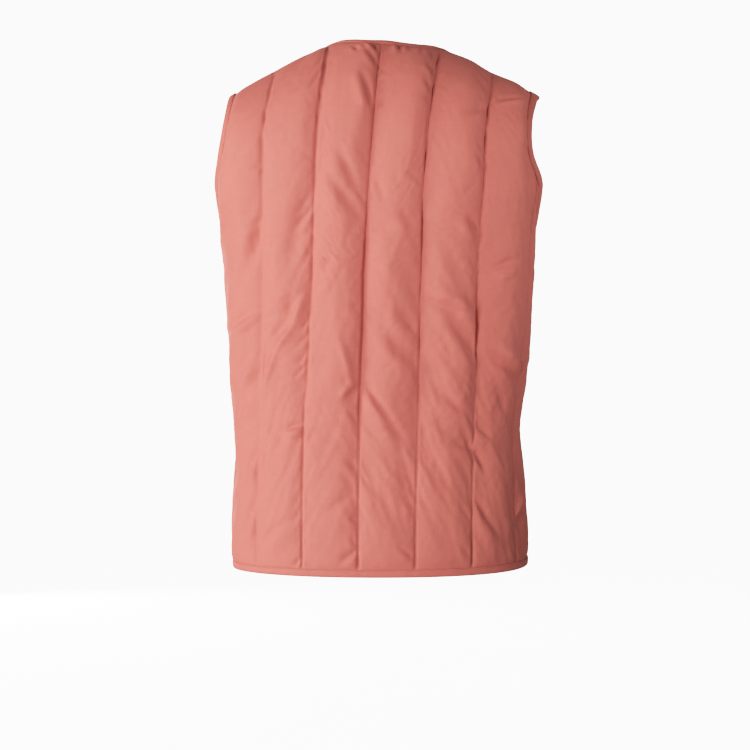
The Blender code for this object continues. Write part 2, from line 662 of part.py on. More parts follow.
def neck_stations(back, left, right):
    """Strip up the right front's edge, round the back neck and down the left front's edge."""
    first, last = back.neck_columns
    neck = slice(first, last + 1)
    up_right = edge_stations(right, (-1,), (-2,))
    across = edge_stations(back, (neck, ROWS), (neck, ROWS - 1))
    down_left = edge_stations(left, (0,), (1,))[::-1]
    right_seam = seam_station(back, (first, ROWS), (first - 1, ROWS))
    left_seam = seam_station(back, (last, ROWS), (last + 1, ROWS))
    across = clear_of_seam(across, right_seam)
    across = clear_of_seam(across[::-1], left_seam)[::-1]
    run = meet(up_right, np.concatenate([right_seam, across, left_seam]))
    run = meet(run, down_left)
    turned_under = np.zeros_like(run[:1])
    turned_under[..., :2, 2] = turned_under[..., 3:5, 2] = -(SEAM_GAP + BINDING_CLOTH)
    return np.concatenate([run[:1] + turned_under, run, run[-1:] + turned_under])


def armhole_stations(back, front, side):
    """Loop from the underarm up the back, over the shoulder and down the front."""
    edge, margin = (-1, -2) if side == LEFT else (0, 1)
    rows = slice(UNDERARM_ROW, None)
    seams, runs = [], []
    for panel in (back, front):
        seams.append(seam_station(panel, (edge, UNDERARM_ROW), (edge, UNDERARM_ROW - 1)))
        runs.append(clear_of_seam(edge_stations(panel, (edge, rows), (margin, rows)), seams[-1]))
    underarm = (seams[0] + seams[1]) / 2.0
    return np.concatenate([underarm, meet(runs[0], runs[1][::-1])])


def snap_mesh():
    """Low domed cap, as a profile that a Screw modifier turns."""
    mesh = bpy.data.meshes.new("snap_cap")
    points = [(cap.radius * SNAP_RADIUS, 0.0, cap.height * SNAP_HEIGHT) for cap in SNAP_CAP]
    mesh.from_pydata(points, [(i, i + 1) for i in range(len(points) - 1)], [])
    return mesh


def add_snaps(finish, collection):
    mesh = snap_mesh()
    mesh.materials.append(finish)
    for number, rise in enumerate(np.linspace(SNAP_TOP, SNAP_FOOT, SNAP_COUNT), start=1):
        reach, rise = np.array([0.0]), np.array([rise])
        normal = outward(reach, rise, FRONT)[0]
        obj = bpy.data.objects.new(f"snap_{number}", mesh)
        obj.location = surface(reach, rise, FRONT)[0] + normal * (WALL + SNAP_GAP)
        obj.rotation_euler = Vector(normal).to_track_quat("Z", "Y").to_euler()
        screw = obj.modifiers.new("turned", "SCREW")
        screw.steps = screw.render_steps = SNAP_STEPS
        screw.use_merge_vertices = True
        screw.merge_threshold = WELD
        collection.objects.link(obj)


def main():
    for obj in list(bpy.data.objects):
        bpy.data.objects.remove(obj)
    collection = bpy.data.collections.new(NAME)
    bpy.context.scene.collection.children.link(collection)
    cloth = material("quilted cloth", CLOTH_COLOUR, CLOTH_ROUGHNESS)
    tape = material("binding cloth", BINDING_COLOUR, CLOTH_ROUGHNESS)
    metal = material("snap metal", SNAP_COLOUR, SNAP_ROUGHNESS, 1.0)
    back, left, right = make_back(), make_front(LEFT), make_front(RIGHT)
    for name, panel in (("back", back), ("front_left", left), ("front_right", right)):
        finish_object(name, panel_mesh(name, panel), cloth, collection)
    bindings = (
        ("hem_binding", hem_stations(back, left, right), False),
        ("neck_binding", neck_stations(back, left, right), False),
        ("armhole_binding_left", armhole_stations(back, left, LEFT), True),
        ("armhole_binding_right", armhole_stations(back, right, RIGHT), True),
    )
    for name, stations, closed in bindings:
        finish_object(name, binding_mesh(name, stations, closed), tape, collection)
    add_snaps(metal, collection)


main()
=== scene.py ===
"""Looks of the quilted gilet: padded panels, folded bindings, stitching and snaps, built over its solids.

Metres, +Z up. The front faces -Y and the garment's left is +X. Places on the cloth are given by two lengths.
Reach is the distance along the cloth from the centre back or centre front, positive to the left.
Rise is the height up to the shoulder blades, and above them it goes on along the roll of the cloth to the
shoulder seam. The cut repeats the solids' main sizes on a finer grid. Its sections change in roundness and
its quilting lines stray, where the solids keep to one roundness and even lines."""

import math
from collections import namedtuple

import bmesh
import bpy
import numpy as np
from bpy.props import FloatProperty, FloatVectorProperty, IntProperty, PointerProperty
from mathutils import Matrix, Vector, noise
from mathutils.kdtree import KDTree


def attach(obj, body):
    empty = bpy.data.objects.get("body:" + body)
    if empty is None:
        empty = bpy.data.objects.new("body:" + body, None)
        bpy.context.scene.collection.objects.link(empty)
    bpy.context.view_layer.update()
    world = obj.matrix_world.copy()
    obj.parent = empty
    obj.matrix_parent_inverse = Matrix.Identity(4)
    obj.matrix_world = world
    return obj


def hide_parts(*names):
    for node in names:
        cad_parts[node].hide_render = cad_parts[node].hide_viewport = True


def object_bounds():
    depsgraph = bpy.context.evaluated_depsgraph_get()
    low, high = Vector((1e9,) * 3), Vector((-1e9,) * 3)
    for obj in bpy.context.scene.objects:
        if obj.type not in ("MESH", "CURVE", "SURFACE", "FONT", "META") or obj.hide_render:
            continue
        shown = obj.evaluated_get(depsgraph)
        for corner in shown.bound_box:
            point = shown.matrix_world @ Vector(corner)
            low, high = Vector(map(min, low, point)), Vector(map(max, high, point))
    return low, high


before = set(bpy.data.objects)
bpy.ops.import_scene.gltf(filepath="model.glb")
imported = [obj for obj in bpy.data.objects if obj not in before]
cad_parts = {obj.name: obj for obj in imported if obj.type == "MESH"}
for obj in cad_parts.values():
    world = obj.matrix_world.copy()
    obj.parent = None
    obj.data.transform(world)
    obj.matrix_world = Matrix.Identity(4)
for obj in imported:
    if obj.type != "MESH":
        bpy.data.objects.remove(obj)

CAD_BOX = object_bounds()

bl_info = {
    "name": "Quilted gilet",
    "version": (1, 0, 0),
    "blender": (4, 5, 0),
    "location": "View3D > Sidebar > Gilet",
    "description": "Builds a worn quilted gilet with padded channels, bound edges, stitching and snaps",
    "category": "Add Mesh",
}

BACK, FRONT = 1, -1
LEFT, RIGHT = 1, -1

# Heights and lengths of the body
HEM_RISE = -0.680           # panel edge at the side seams
HEM_DROP = 0.006            # how much lower it hangs at the centre back and front
HEM_LIFT = 0.005            # how much higher it rides at the right side seam
HEM_LIFT_POWER = 4          # more keeps the lift closer to that seam
UNDERARM_RISE = -0.250
BLADE_RISE = -0.150         # shoulder blades, where the roll to the shoulder begins
ROLL_LENGTH = 0.200         # from the blades along the cloth to the shoulder seam
TOP_RISE = BLADE_RISE + ROLL_LENGTH
ROUNDNESS = (2.25, 2.5)     # at the hem and the blades: 2 gives ellipses, more gives squarer sections

# Shoulder line: it falls away on both sides of a centre, and sags a little on the right
SHOULDER_CENTRE = -0.008
SHOULDER_SOFTNESS = 0.020   # how widely the two falls are rounded into each other
SHOULDER_START = 0.080      # where the drop and slope are measured, out from the centre
SHOULDER_DROP = 0.011
SHOULDER_SLOPE = 0.42
SHOULDER_CURVE = 1.0        # bends it further down outwards
SHOULDER_DIP = 0.0045
SHOULDER_DIP_ENDS = (0.005, 0.205)  # the sag's ends, out from the middle
SHOULDER_DIP_RAMP = 0.060   # length over which it begins and ends

# Neckline
NECK_CENTRE = -0.0125
NECK_HALF = 0.0725          # half its width at the shoulder seams
NECK_BACK_RISE = -0.014     # its lowest places behind and in front
NECK_FRONT_RISE = -0.185
NECK_CURVE = 2.2            # more keeps the back neck level for longer
NECK_FRONT_CURVE = 1.15     # 1 gives a straight slant

# Quilting lines
CHANNEL_AT_HEM = 0.0715     # width of a channel
CHANNEL_AT_NECK = 0.070
MIDDLE_LINE_AT_HEM = 0.0262
MIDDLE_LINE_SHIFT = -0.0312     # how far the middle line of the back has moved across at the neck
MIDDLE_LINE_CURVE = 2.2
# Lines of the back by their place from the middle one, in the order of growing reach, with their columns in
# the table of strays, and the channels that they part, in the same order, as the table of crests names them
BACK_LINES = {-3: "sixth", -2: "fifth", -1: "fourth", 0: "third", 1: "second", 2: "first"}
BACK_CHANNELS = ("right", "fifth", "fourth", "third", "second", "first", "left")
FRONT_LINES = (0, 1, 2, 3)

# Lap of the fronts: each edge lies this far past the centre, and the right front is sunk under the left one
LAP = 0.020
LAP_DEPTH = 0.0068
LAP_FADE = (0.030, 0.085)   # it comes out again over these reaches, and above this rise over this length
LAP_TOP = -0.115
LAP_RUN_OUT = 0.100

# Padding of the channels
PUFF_POWER = 0.55           # under 1 gives sharp valleys and full middles
PUFF_FADE = 0.014           # puff grows over this length beyond a binding
SEAM_FADE = 0.030           # beyond a side or shoulder seam
SHOULDER_FADE = 0.125       # and this far down from the shoulder seams
ROOF = 0.55                 # share of a channel's height that stands as two planes with a crest
CREST = 0.16                # how softly those planes meet
LEAN = 0.09                 # how far a channel's crest wanders to each side, as a share of its width
LEAN_LENGTH = 0.085         # length over which it wanders
BACK_LEAN = 0.5             # share of that on the back, whose crests have a table of their own
HEIGHT_CHANGE = 0.25        # share by which a channel's height changes along it
CHANNEL_SEED = 1.7          # how far apart in the noise two channels are, and a channel's lean and height
HEIGHT_SEED = 0.8
LOW_PUFF = 0.24             # share of the puff below this band, where the cloth hangs smoother
LOW_CUSP = 0.30             # of the sharp rise beside the lines
LOW_SWELL = 0.60            # and of the blowing up
PUFF_BAND = (-0.560, -0.380)
FLAT_PUFF = 0.62            # share of the puff high on the left, where the cloth is drawn flatter
FLAT_SIDE = (0.050, 0.085)  # reaches over which it is drawn flat
SEWN_PUFF = 0.02            # cloth with less puff than this share is held while the rest is blown up
CUSP = 0.0022               # how sharply the cloth rises from a quilting line, and over what length
CUSP_LENGTH = 0.0016

# Seams and edges
GROOVE_HALF = 0.0018        # half the width of the valley that a row of stitches presses
GROOVE_ROOM = 2.0           # it keeps its depth until the padding is down to one part in this
HIGH_GROOVE = 0.50          # share of the groove's depth above this band
GROOVE_BAND = (-0.300, -0.200)
SEAM_LAP = 0.0001           # how far each panel reaches past its seams, so that no light shows through
SEAM_DIP = 0.0010           # and how deep the valley along them is
BINDING_GAP = 0.0003        # between a binding and the cloth in it
LIP = 0.78                  # share of the flat margin that a binding covers
FLARE = {(BACK, LEFT): 0.0010, (BACK, RIGHT): 0.0036, (FRONT, LEFT): 0.0020, (FRONT, RIGHT): 0.0020}
FLARE_WIDTH = 1.6           # each armhole's edge stands off by that much over this many widths of its binding
FLARE_POWER = 1.5
FLARE_FADE = 0.022          # and less within this length of a seam

# Creases
CREASE_FADE = 0.005         # creases die out this close to a line or binding
CREASE_HOLD = 0.7           # under 1 lets them run closer to a line
CREASE_TAIL = 1.5           # creases run out softly this far past their stated ends
SWELL_PLACE = 1.9           # the swell beside a crease: its distance and breadth, in the crease's breadths
SWELL_BREADTH = 1.7

# Puckers beside the quilting lines, drawn between two ends each
PUCKER_TURN = 0.040         # puckers and drag slant one way left of this reach, the other way right of it
PUCKER_SIDES = ((LEFT, 1.0), (RIGHT, 0.6))  # share of the depth on each side of a line
PUCKER_START = (0.02, 0.05)     # first one above the hem, and the room left at the neck
PUCKER_STOP = 0.02
PUCKER_STEP = (0.015, 0.075)    # from one to the next
PUCKER_RUN = (0.004, 0.010)     # half its length across, and how much it climbs for that
PUCKER_CLIMB = (0.7, 1.6)
PUCKER_DEPTH = (0.0001, 0.0011)
PUCKER_BREADTH = (0.0025, 0.0045)
PUCKER_OFF = 0.001          # from the line to its end
PUCKER_SWELL = 0.7

# Soft drag of the worn cloth: slanting hollows between the main creases, with folds and a fine crumple in
# them. Each is smooth noise with patches of a size across and along, at its own place in the noise, with a
# depth.
Patches = namedtuple("Patches", "across along seed depth")
HOLLOWS = Patches(0.021, 0.075, 2.6, 1.0)
FOLDS = Patches(0.0126, 0.0525, 5.1, 0.8)
CRUMPLES = Patches(0.00945, 0.0225, 9.2, 0.35)
BENDS = Patches(0.050, 0.090, 0.3, 0.35)    # how far the hollows bend, in their own widths
CHANGES = Patches(0.110, 0.130, 7.4, 1.2)   # how the drag's strength changes over the cloth
DRAG_DEPTH = 0.0026
DRAG_SLANT = 0.45           # how far a hollow leans sideways for each length that it climbs
DRAG_MIX = 0.060            # the two ways of slanting meet over this length
DRAG_MEAN = 0.6             # usual strength, and its limits
DRAG_LIMITS = (0.1, 1.5)
DRAG_TOP = (-0.280, -0.140)     # it grows shallow over these rises, by this share
DRAG_TOP_LOSS = 0.65

# Where each panel starts to draw its puckers, and its place in the noise
Draws = namedtuple("Draws", "puckers noise")
DRAWS = {"back": Draws(3, 0.0), "front_left": Draws(6, 30.0), "front_right": Draws(4, 10.0)}

# Grid of each panel
ROWS = 140
UNDERARM_ROW = 80           # row at the underarm, and row at the foot of the front neckline
NECK_FOOT_ROW = 90
CHANNEL_COLUMNS = 16        # columns in a channel, and in the part channels at a panel's sides
EDGE_COLUMNS = 8
ROW_STEP = 5                # margins are worked out on every fifth row and every fourth column
COLUMN_STEP = 4
MARGIN_STEPS = 3            # columns or rows in a margin
LEAST_COLUMN = 0.0015       # lines that leave a panel's side are held this far from it for each column
CORNER_PULL = 3.0           # more keeps the bend of the rows closer to a panel's sides
SHOULDER_ROWS = 0.8         # share of the rows above which the columns draw over to the neck's ends
CORNER_STEP = 0.1           # share of a step by which a binding's corner is moved on
EDGE_VALUES = 3             # values of a binding's station at the edge, and as many at the margin
RING_STEPS = 96             # steps in a quarter of a section, and along an edge before it is spaced
EDGE_STEPS = 400
SLOPE_STEP = 0.002          # how far from a place its slopes are measured

# Level sections of the inside: half widths to each side, depths behind and before the side seams
Section = namedtuple("Section", "rise left right back front")
SECTIONS = (
    Section(-0.690, 0.185, 0.189, 0.120, 0.136),
    Section(-0.620, 0.188, 0.188, 0.119, 0.138),
    Section(-0.540, 0.183, 0.181, 0.114, 0.137),
    Section(-0.500, 0.184, 0.177, 0.112, 0.136),
    Section(-0.426, 0.186, 0.185, 0.112, 0.134),
    Section(-0.330, 0.193, 0.190, 0.117, 0.131),
    Section(-0.250, 0.199, 0.195, 0.124, 0.128),
    Section(-0.190, 0.215, 0.2085, 0.129, 0.124),
    Section(-0.150, 0.216, 0.2085, 0.130, 0.121),
)

# Armhole edges above the rounded underarm corner: distance out from the middle at each rise
Armhole = namedtuple("Armhole", "rise back_left back_right front_left front_right")
ARMHOLES = (
    Armhole(-0.190, 0.206, 0.203, 0.196, 0.192),
    Armhole(-0.150, 0.201, 0.190, 0.184, 0.180),
    Armhole(-0.096, 0.196, 0.189, 0.180, 0.178),
    Armhole(-0.037, 0.192, 0.196, 0.184, 0.190),
    Armhole(0.050, 0.190, 0.206, 0.190, 0.206),
)

# Where the crests of the back's channels lie, as shares of their widths from the left
Crests = namedtuple("Crests", "rise left first second third fourth fifth right")
CRESTS = (
    Crests(-0.640, 0.50, 0.62, 0.62, 0.54, 0.64, 0.40, 0.50),
    Crests(-0.550, 0.50, 0.58, 0.66, 0.54, 0.58, 0.40, 0.50),
    Crests(-0.480, 0.55, 0.68, 0.74, 0.48, 0.70, 0.45, 0.50),
    Crests(-0.420, 0.60, 0.76, 0.76, 0.62, 0.76, 0.50, 0.50),
    Crests(-0.360, 0.62, 0.66, 0.74, 0.52, 0.62, 0.50, 0.50),
    Crests(-0.300, 0.64, 0.58, 0.66, 0.42, 0.60, 0.48, 0.50),
    Crests(-0.240, 0.66, 0.64, 0.52, 0.68, 0.68, 0.48, 0.50),
    Crests(-0.180, 0.68, 0.72, 0.46, 0.72, 0.72, 0.52, 0.50),
    Crests(-0.120, 0.68, 0.76, 0.74, 0.74, 0.69, 0.55, 0.50),
    Crests(-0.060, 0.66, 0.80, 0.72, 0.74, 0.60, 0.55, 0.50),
)

# How far each quilting line of the back strays from its even place, counted from the left
Stray = namedtuple("Stray", "rise first second third fourth fifth sixth")
LINE_STRAYS = (
    Stray(-0.680, -0.0075, 0.0000, 0.0000, 0.0000, -0.0020, 0.0000),
    Stray(-0.500, -0.0100, -0.0010, 0.0000, -0.0025, -0.0040, 0.0000),
    Stray(-0.430, -0.0115, -0.0035, 0.0000, -0.0020, -0.0040, -0.0030),
    Stray(-0.380, -0.0110, -0.0050, 0.0000, -0.0010, -0.0020, -0.0130),
    Stray(-0.300, -0.0090, -0.0050, 0.0010, 0.0000, 0.0000, -0.0180),
    Stray(-0.200, -0.0045, -0.0010, 0.0025, 0.0050, 0.0010, -0.0180),
    Stray(-0.120, 0.0015, 0.0025, 0.0025, 0.0040, 0.0020, -0.0100),
    Stray(-0.050, 0.0000, 0.0000, 0.0020, 0.0010, 0.0000, 0.0000),
)

# Creases: middle, half run across and up, depth (negative for a ridge), breadth, and the swell along its
# lower side, or along its upper side if negative, as a share of the depth
Crease = namedtuple("Crease", "reach rise run climb depth breadth swell")
BACK_CREASES = (
    # From the left side seam to the first line
    Crease(0.158, -0.264, 0.007, -0.030, 0.0046, 0.0060, -0.5),
    Crease(0.192, -0.312, 0.012, -0.036, -0.0026, 0.0045, 0.3),
    Crease(0.185, -0.364, 0.022, -0.013, 0.0030, 0.0042, 0.9),
    Crease(0.180, -0.425, 0.010, -0.018, 0.0032, 0.0042, 0.9),
    Crease(0.184, -0.475, 0.009, -0.016, 0.0028, 0.0040, 0.9),
    Crease(0.174, -0.550, 0.011, -0.020, 0.0030, 0.0042, 0.9),
    Crease(0.176, -0.625, 0.010, -0.028, 0.0032, 0.0042, 0.9),
    # First channel
    Crease(0.103, -0.255, 0.013, -0.050, 0.0032, 0.0100, 0.3),
    Crease(0.101, -0.352, 0.006, -0.017, -0.0032, 0.0055, -0.9),
    Crease(0.118, -0.385, 0.010, -0.014, -0.0036, 0.0055, -0.9),
    Crease(0.139, -0.426, 0.010, -0.028, -0.0032, 0.0055, -0.8),
    Crease(0.107, -0.498, 0.012, -0.004, 0.0028, 0.0040, 0.9),
    Crease(0.128, -0.523, 0.010, -0.015, 0.0016, 0.0060, 0.4),
    Crease(0.131, -0.628, 0.023, -0.015, 0.0016, 0.0060, 0.5),
    Crease(0.102, -0.668, 0.006, -0.005, 0.0018, 0.0030, 0.6),
    # Second channel
    Crease(0.006, -0.030, 0.007, 0.012, 0.0030, 0.0032, 0.6),
    Crease(0.006, -0.052, 0.006, 0.012, 0.0026, 0.0034, 0.6),
    Crease(0.013, -0.092, 0.007, 0.020, 0.0034, 0.0045, 0.5),
    Crease(0.039, -0.173, 0.010, 0.024, 0.0024, 0.0065, -0.4),
    Crease(0.043, -0.208, 0.017, 0.026, 0.0024, 0.0065, 0.5),
    Crease(0.040, -0.413, 0.008, 0.027, -0.0020, 0.0055, -0.5),
    Crease(0.039, -0.452, 0.008, -0.009, -0.0024, 0.0050, 0.9),
    Crease(0.052, -0.596, 0.018, -0.011, 0.0016, 0.0070, 0.5),
    Crease(0.037, -0.660, 0.010, -0.007, 0.0018, 0.0040, 0.5),
    # Third channel
    Crease(-0.002, -0.200, 0.005, 0.018, 0.0016, 0.0070, 0.3),
    Crease(-0.036, -0.238, 0.007, 0.012, 0.0022, 0.0060, 0.5),
    Crease(-0.006, -0.248, 0.014, -0.003, 0.0011, 0.0060, 0.5),
    Crease(-0.034, -0.363, 0.011, 0.013, 0.0036, 0.0075, 0.3),
    Crease(-0.018, -0.394, 0.007, 0.015, 0.0014, 0.0060, 0.4),
    Crease(-0.031, -0.402, 0.014, 0.020, 0.0034, 0.0085, 0.2),
    Crease(0.002, -0.467, 0.014, 0.020, 0.0026, 0.0045, 0.8),
    Crease(-0.020, -0.503, 0.012, 0.020, 0.0020, 0.0055, 0.5),
    Crease(-0.066, -0.058, 0.004, 0.007, 0.0022, 0.0032, 0.6),
    Crease(-0.061, -0.082, 0.004, 0.006, 0.0018, 0.0032, 0.6),
    # Fourth channel
    Crease(-0.119, -0.100, 0.012, -0.008, 0.0018, 0.0050, 0.4),
    Crease(-0.127, -0.167, 0.004, 0.008, 0.0016, 0.0040, 0.4),
    Crease(-0.117, -0.245, 0.008, 0.014, 0.0034, 0.0050, 0.7),
    Crease(-0.096, -0.302, 0.015, 0.037, 0.0024, 0.0100, 0.2),
    Crease(-0.078, -0.345, 0.028, 0.011, 0.0022, 0.0060, -0.8),
    Crease(-0.101, -0.342, 0.008, 0.010, -0.0020, 0.0055, 0.2),
    Crease(-0.103, -0.379, 0.019, 0.028, 0.0050, 0.0095, -0.35),
    Crease(-0.094, -0.470, 0.015, 0.016, 0.0022, 0.0060, 0.6),
    Crease(-0.103, -0.521, 0.014, 0.005, 0.0020, 0.0060, 0.5),
    Crease(-0.120, -0.527, 0.013, 0.019, 0.0022, 0.0050, 0.5),
    # Fifth channel, round to the right side
    Crease(-0.174, -0.061, 0.026, -0.014, 0.0024, 0.0035, 0.8),
    Crease(-0.155, -0.292, 0.017, -0.005, 0.0024, 0.0060, 0.6),
    Crease(-0.165, -0.424, 0.025, 0.018, 0.0044, 0.0065, -0.9),
    Crease(-0.158, -0.462, 0.008, 0.022, 0.0024, 0.0110, 0.1),
    Crease(-0.134, -0.503, 0.010, 0.010, 0.0024, 0.0050, 0.6),
    Crease(-0.131, -0.541, 0.007, 0.010, 0.0022, 0.0050, 0.6),
    Crease(-0.139, -0.614, 0.015, 0.023, 0.0026, 0.0060, 0.6),
    Crease(-0.198, -0.601, 0.012, -0.016, -0.0036, 0.0060, 0.8),
    Crease(-0.205, -0.420, 0.010, -0.012, -0.0024, 0.0060, 0.6),
    # Gathers under the neck binding
    Crease(0.028, -0.031, 0.002, 0.007, 0.0014, 0.0022, 0.5),
    Crease(0.017, -0.031, 0.002, 0.007, 0.0012, 0.0022, 0.5),
    Crease(-0.004, -0.030, 0.001, 0.006, 0.0012, 0.0022, 0.5),
    Crease(-0.024, -0.031, 0.001, 0.009, 0.0024, 0.0026, 0.6),
    Crease(-0.035, -0.030, 0.001, 0.006, 0.0014, 0.0022, 0.5),
    Crease(-0.050, -0.029, 0.001, 0.006, 0.0012, 0.0022, 0.5),
    Crease(-0.063, -0.027, 0.001, 0.007, 0.0014, 0.0024, 0.5),
)
FRONT_CREASES = (
    Crease(0.060, -0.270, 0.016, -0.024, 0.0022, 0.0065, 0.6),
    Crease(0.052, -0.402, 0.018, -0.022, 0.0020, 0.0060, 0.6),
    Crease(0.066, -0.555, 0.014, 0.020, 0.0024, 0.0065, 0.5),
    Crease(0.128, -0.215, 0.014, -0.030, 0.0022, 0.0080, 0.4),
    Crease(0.120, -0.352, 0.022, -0.024, 0.0028, 0.0065, 0.7),
    Crease(0.135, -0.470, 0.018, -0.012, 0.0020, 0.0060, 0.6),
    Crease(0.122, -0.606, 0.020, 0.022, 0.0024, 0.0065, 0.6),
    Crease(0.196, -0.300, 0.020, -0.030, 0.0028, 0.0070, 0.7),
    Crease(0.205, -0.392, 0.018, -0.020, 0.0024, 0.0060, 0.7),
    Crease(0.192, -0.512, 0.020, 0.024, 0.0028, 0.0065, 0.6),
    Crease(0.200, -0.618, 0.014, 0.022, 0.0024, 0.0060, 0.6),
    Crease(0.150, -0.100, 0.022, 0.010, 0.0022, 0.0060, 0.5),
)
RIGHT_FRONT_LIFT = 0.023    # the right front's creases lie this much higher

# Bindings and stitches
FLAT_STEPS = 7              # points across a strip's flat side, and round its turn
TURN_STEPS = 6
BINDING_WAVES = (0.013, 0.021, 0.034)   # lengths over which a hand-guided strip swings
WAVE_SHIFT = 1000.0         # shifts each wave by an angle of its own
LIP_SWING = 0.02            # swing of the strip's edge, as a share of its width, and of its crown
CROWN_SWING = 0.5
CROWN_START = 0.12          # the crown is a part of an arch: where it starts, and its share of the arch
CROWN_RUN = 0.76
TURN_CROWN = 0.3            # share of the crown that goes round the turn
StitchRing = namedtuple("StitchRing", "along thick")
STITCH_RINGS = (
    StitchRing(0.00, 0.25),
    StitchRing(0.18, 0.85),
    StitchRing(0.50, 1.00),
    StitchRing(0.82, 0.85),
    StitchRing(1.00, 0.25),
)
STITCH_SIDES = 5
STITCH_SINK = 0.6           # how far a stitch's thin ends go down, in threads
QUILTING_PROUD = 0.35       # how far the middle of a quilting stitch stands off the cloth, in threads
EDGE_PROUD = 0.3            # and of an edge stitch, which lies on this share of the crown
EDGE_CROWN = 0.55
LINE_NEAR = 0.002           # stitches run only where a line is this close to a column of the panel
SEAM_CLEAR = 1.0 / 3.0      # and at least this share of a binding's width from a seam
LEAST_RUN = 4               # points in the shortest row of stitches

# Rings of a snap cap, from its crown over a pressed groove to its rim, as shares of its radius and height
CapRing = namedtuple("CapRing", "out up")
CAP_RINGS = (
    CapRing(0.300, 0.985),
    CapRing(0.550, 0.930),
    CapRing(0.700, 0.860),
    CapRing(0.740, 0.800),
    CapRing(0.800, 0.800),
    CapRing(0.860, 0.840),
    CapRing(0.930, 0.760),
    CapRing(0.985, 0.580),
    CapRing(1.000, 0.380),
    CapRing(0.985, 0.200),
    CapRing(0.950, 0.060),
    CapRing(0.900, 0.000),
)
CAP_STEPS = 48
CAP_GAP = 0.0005            # between the cap and the pressed cloth

# Sizes of the materials' patterns
STREAK_STRETCH = 0.06       # how fast a thread's tone changes along it, as a share of across it
MOTTLE = 0.0294             # soft patches of tone in the shell cloth
CRINKLE = 0.0105            # small crinkles that pressing leaves
TWIST = 0.000714            # turns of the sewing thread
TWIST_SHADE = 0.75           # share of the thread's tone kept in the hollows of the turns, which is painted shade
RUB = 0.00111               # rubbed marks on the metal
FLOOR_GRAIN = 0.333
GRAIN_DIM = 0.985           # share of the floor's tone that its grain keeps

# How light is turned into tones: nearly even at first, then an ever softer shoulder, so that bright cloth
# pales and the floor runs into the backdrop. Light is a share of the strength that the film takes for white,
# and shown is a share of the picture's white.
FILM_WHITE = 3.0
Tone = namedtuple("Tone", "light shown")
FILM = (
    Tone(0.000, 0.000),
    Tone(0.100, 0.285),
    Tone(0.170, 0.454),
    Tone(0.220, 0.551),
    Tone(0.300, 0.654),
    Tone(0.393, 0.742),
    Tone(0.530, 0.830),
    Tone(0.760, 0.920),
    Tone(1.000, 0.955),
)

# Two large soft lights from the left, a narrow one that reaches the right shoulder blade only, and one that
# the front has for itself. Share is the part of the key light's or blade light's power that a lamp has.
Lamp = namedtuple("Lamp", "name kind place aim size share")
LAMPS = (
    Lamp("side", "AREA", (3.1, 1.0, -0.3), (0.0, 0.0, -0.34), 1.2, 1.0),
    Lamp("key", "AREA", (1.7, 2.7, -0.2), (0.0, 0.0, -0.34), 1.4, 1.0),
    Lamp("blade", "SPOT", (-1.9, 0.9, 0.1), (-0.18, 0.08, -0.22), 0.25, 1.0),
    Lamp("front", "AREA", (1.3, -2.9, -0.1), (0.0, 0.0, -0.34), 1.4, 0.6),
)
SPOT_CONE = math.radians(24.0)
FLOOR_RADIUS = 60.0         # far enough for its edge to lie at the horizon
FLOOR_SIDES = 96
CAMERA_PLACE = (0.0052, -0.4329)    # x and z of the picture's centre on the garment
SENSOR = 36.0               # width of the camera's sensor in millimetres

# Points of a panel's grid, columns first. Lines hold the reach of each quilting line at every point.
Panel = namedtuple("Panel", "face reach rise inner normal lines rails bound seam neck_columns")


def linear(code):
    """Linear colour of an sRGB hex value."""
    parts = [int(code[at : at + 2], 16) / 255.0 for at in (1, 3, 5)]
    return tuple(p / 12.92 if p <= 0.04045 else ((p + 0.055) / 1.055) ** 2.4 for p in parts)


def length_property(name, description, default):
    """Length that a user can set, in the scene's units."""
    return FloatProperty(name=name, description=description, default=default, min=0.0, unit="LENGTH")


def colour_property(name, description, code):
    """Colour that a user can set, with its first tone as sRGB hex."""
    return FloatVectorProperty(
        name=name, description=description, default=linear(code), min=0.0, max=1.0, size=3, subtype="COLOR"
    )


class ClothSettings(bpy.types.PropertyGroup):
    """Padded shell cloth."""

    colour: colour_property("Shell", "Main tone of the shell cloth", "#c76559")
    deep: colour_property("Deep tone", "Tone of the shell's darker threads", "#bf5e53")
    wall: length_property("Wall", "Shell, wadding and backing pressed flat", 0.003)
    puff: length_property("Puff", "How far a channel stands up before it is blown up", 0.0125)
    groove: length_property("Groove", "How far the stitches press the layers together", 0.0020)
    backing: length_property("Backing", "How far the backing bellies inwards", 0.0012)
    pressure: FloatProperty(name="Pressure", description="Push of the wadding on the shell", default=3.0)
    ease: FloatProperty(name="Ease", description="Share by which the shell is cut longer", default=0.002)
    most: length_property("Most swell", "Furthest that the wadding may push a point", 0.004)
    frames: IntProperty(name="Frames", description="Length of the simulation", default=24, min=2)
    crease: FloatProperty(name="Creases", description="How deep the creases are set", default=1.7)
    thread: length_property("Thread spacing", "Pitch at which the weave is drawn", 0.0011)


class SewingSettings(bpy.types.PropertyGroup):
    """Bindings and stitches."""

    colour: colour_property("Binding", "Main tone of the binding cloth", "#c56357")
    thread_colour: colour_property("Thread", "Tone of the sewing thread", "#a9564b")
    width: length_property("Width", "Width of a binding on the cloth", 0.0105)
    cloth: length_property("Cloth", "Thickness of the folded strip", 0.0008)
    crown: length_property("Crown", "How far the fold swells between its edges", 0.0007)
    turn: length_property("Turn", "How far the fold stands past the panel's edge", 0.0016)
    cut: length_property("Cut width", "Width of the strip before it is folded", 0.030)
    stitch: length_property("Stitch", "Length of a stitch", 0.0026)
    gap: length_property("Gap", "Space between two stitches", 0.0008)
    thread: length_property("Thread", "Thickness of the thread", 0.00045)
    inset: length_property("Edge stitch", "From the strip's edge to its row of stitches", 0.0016)


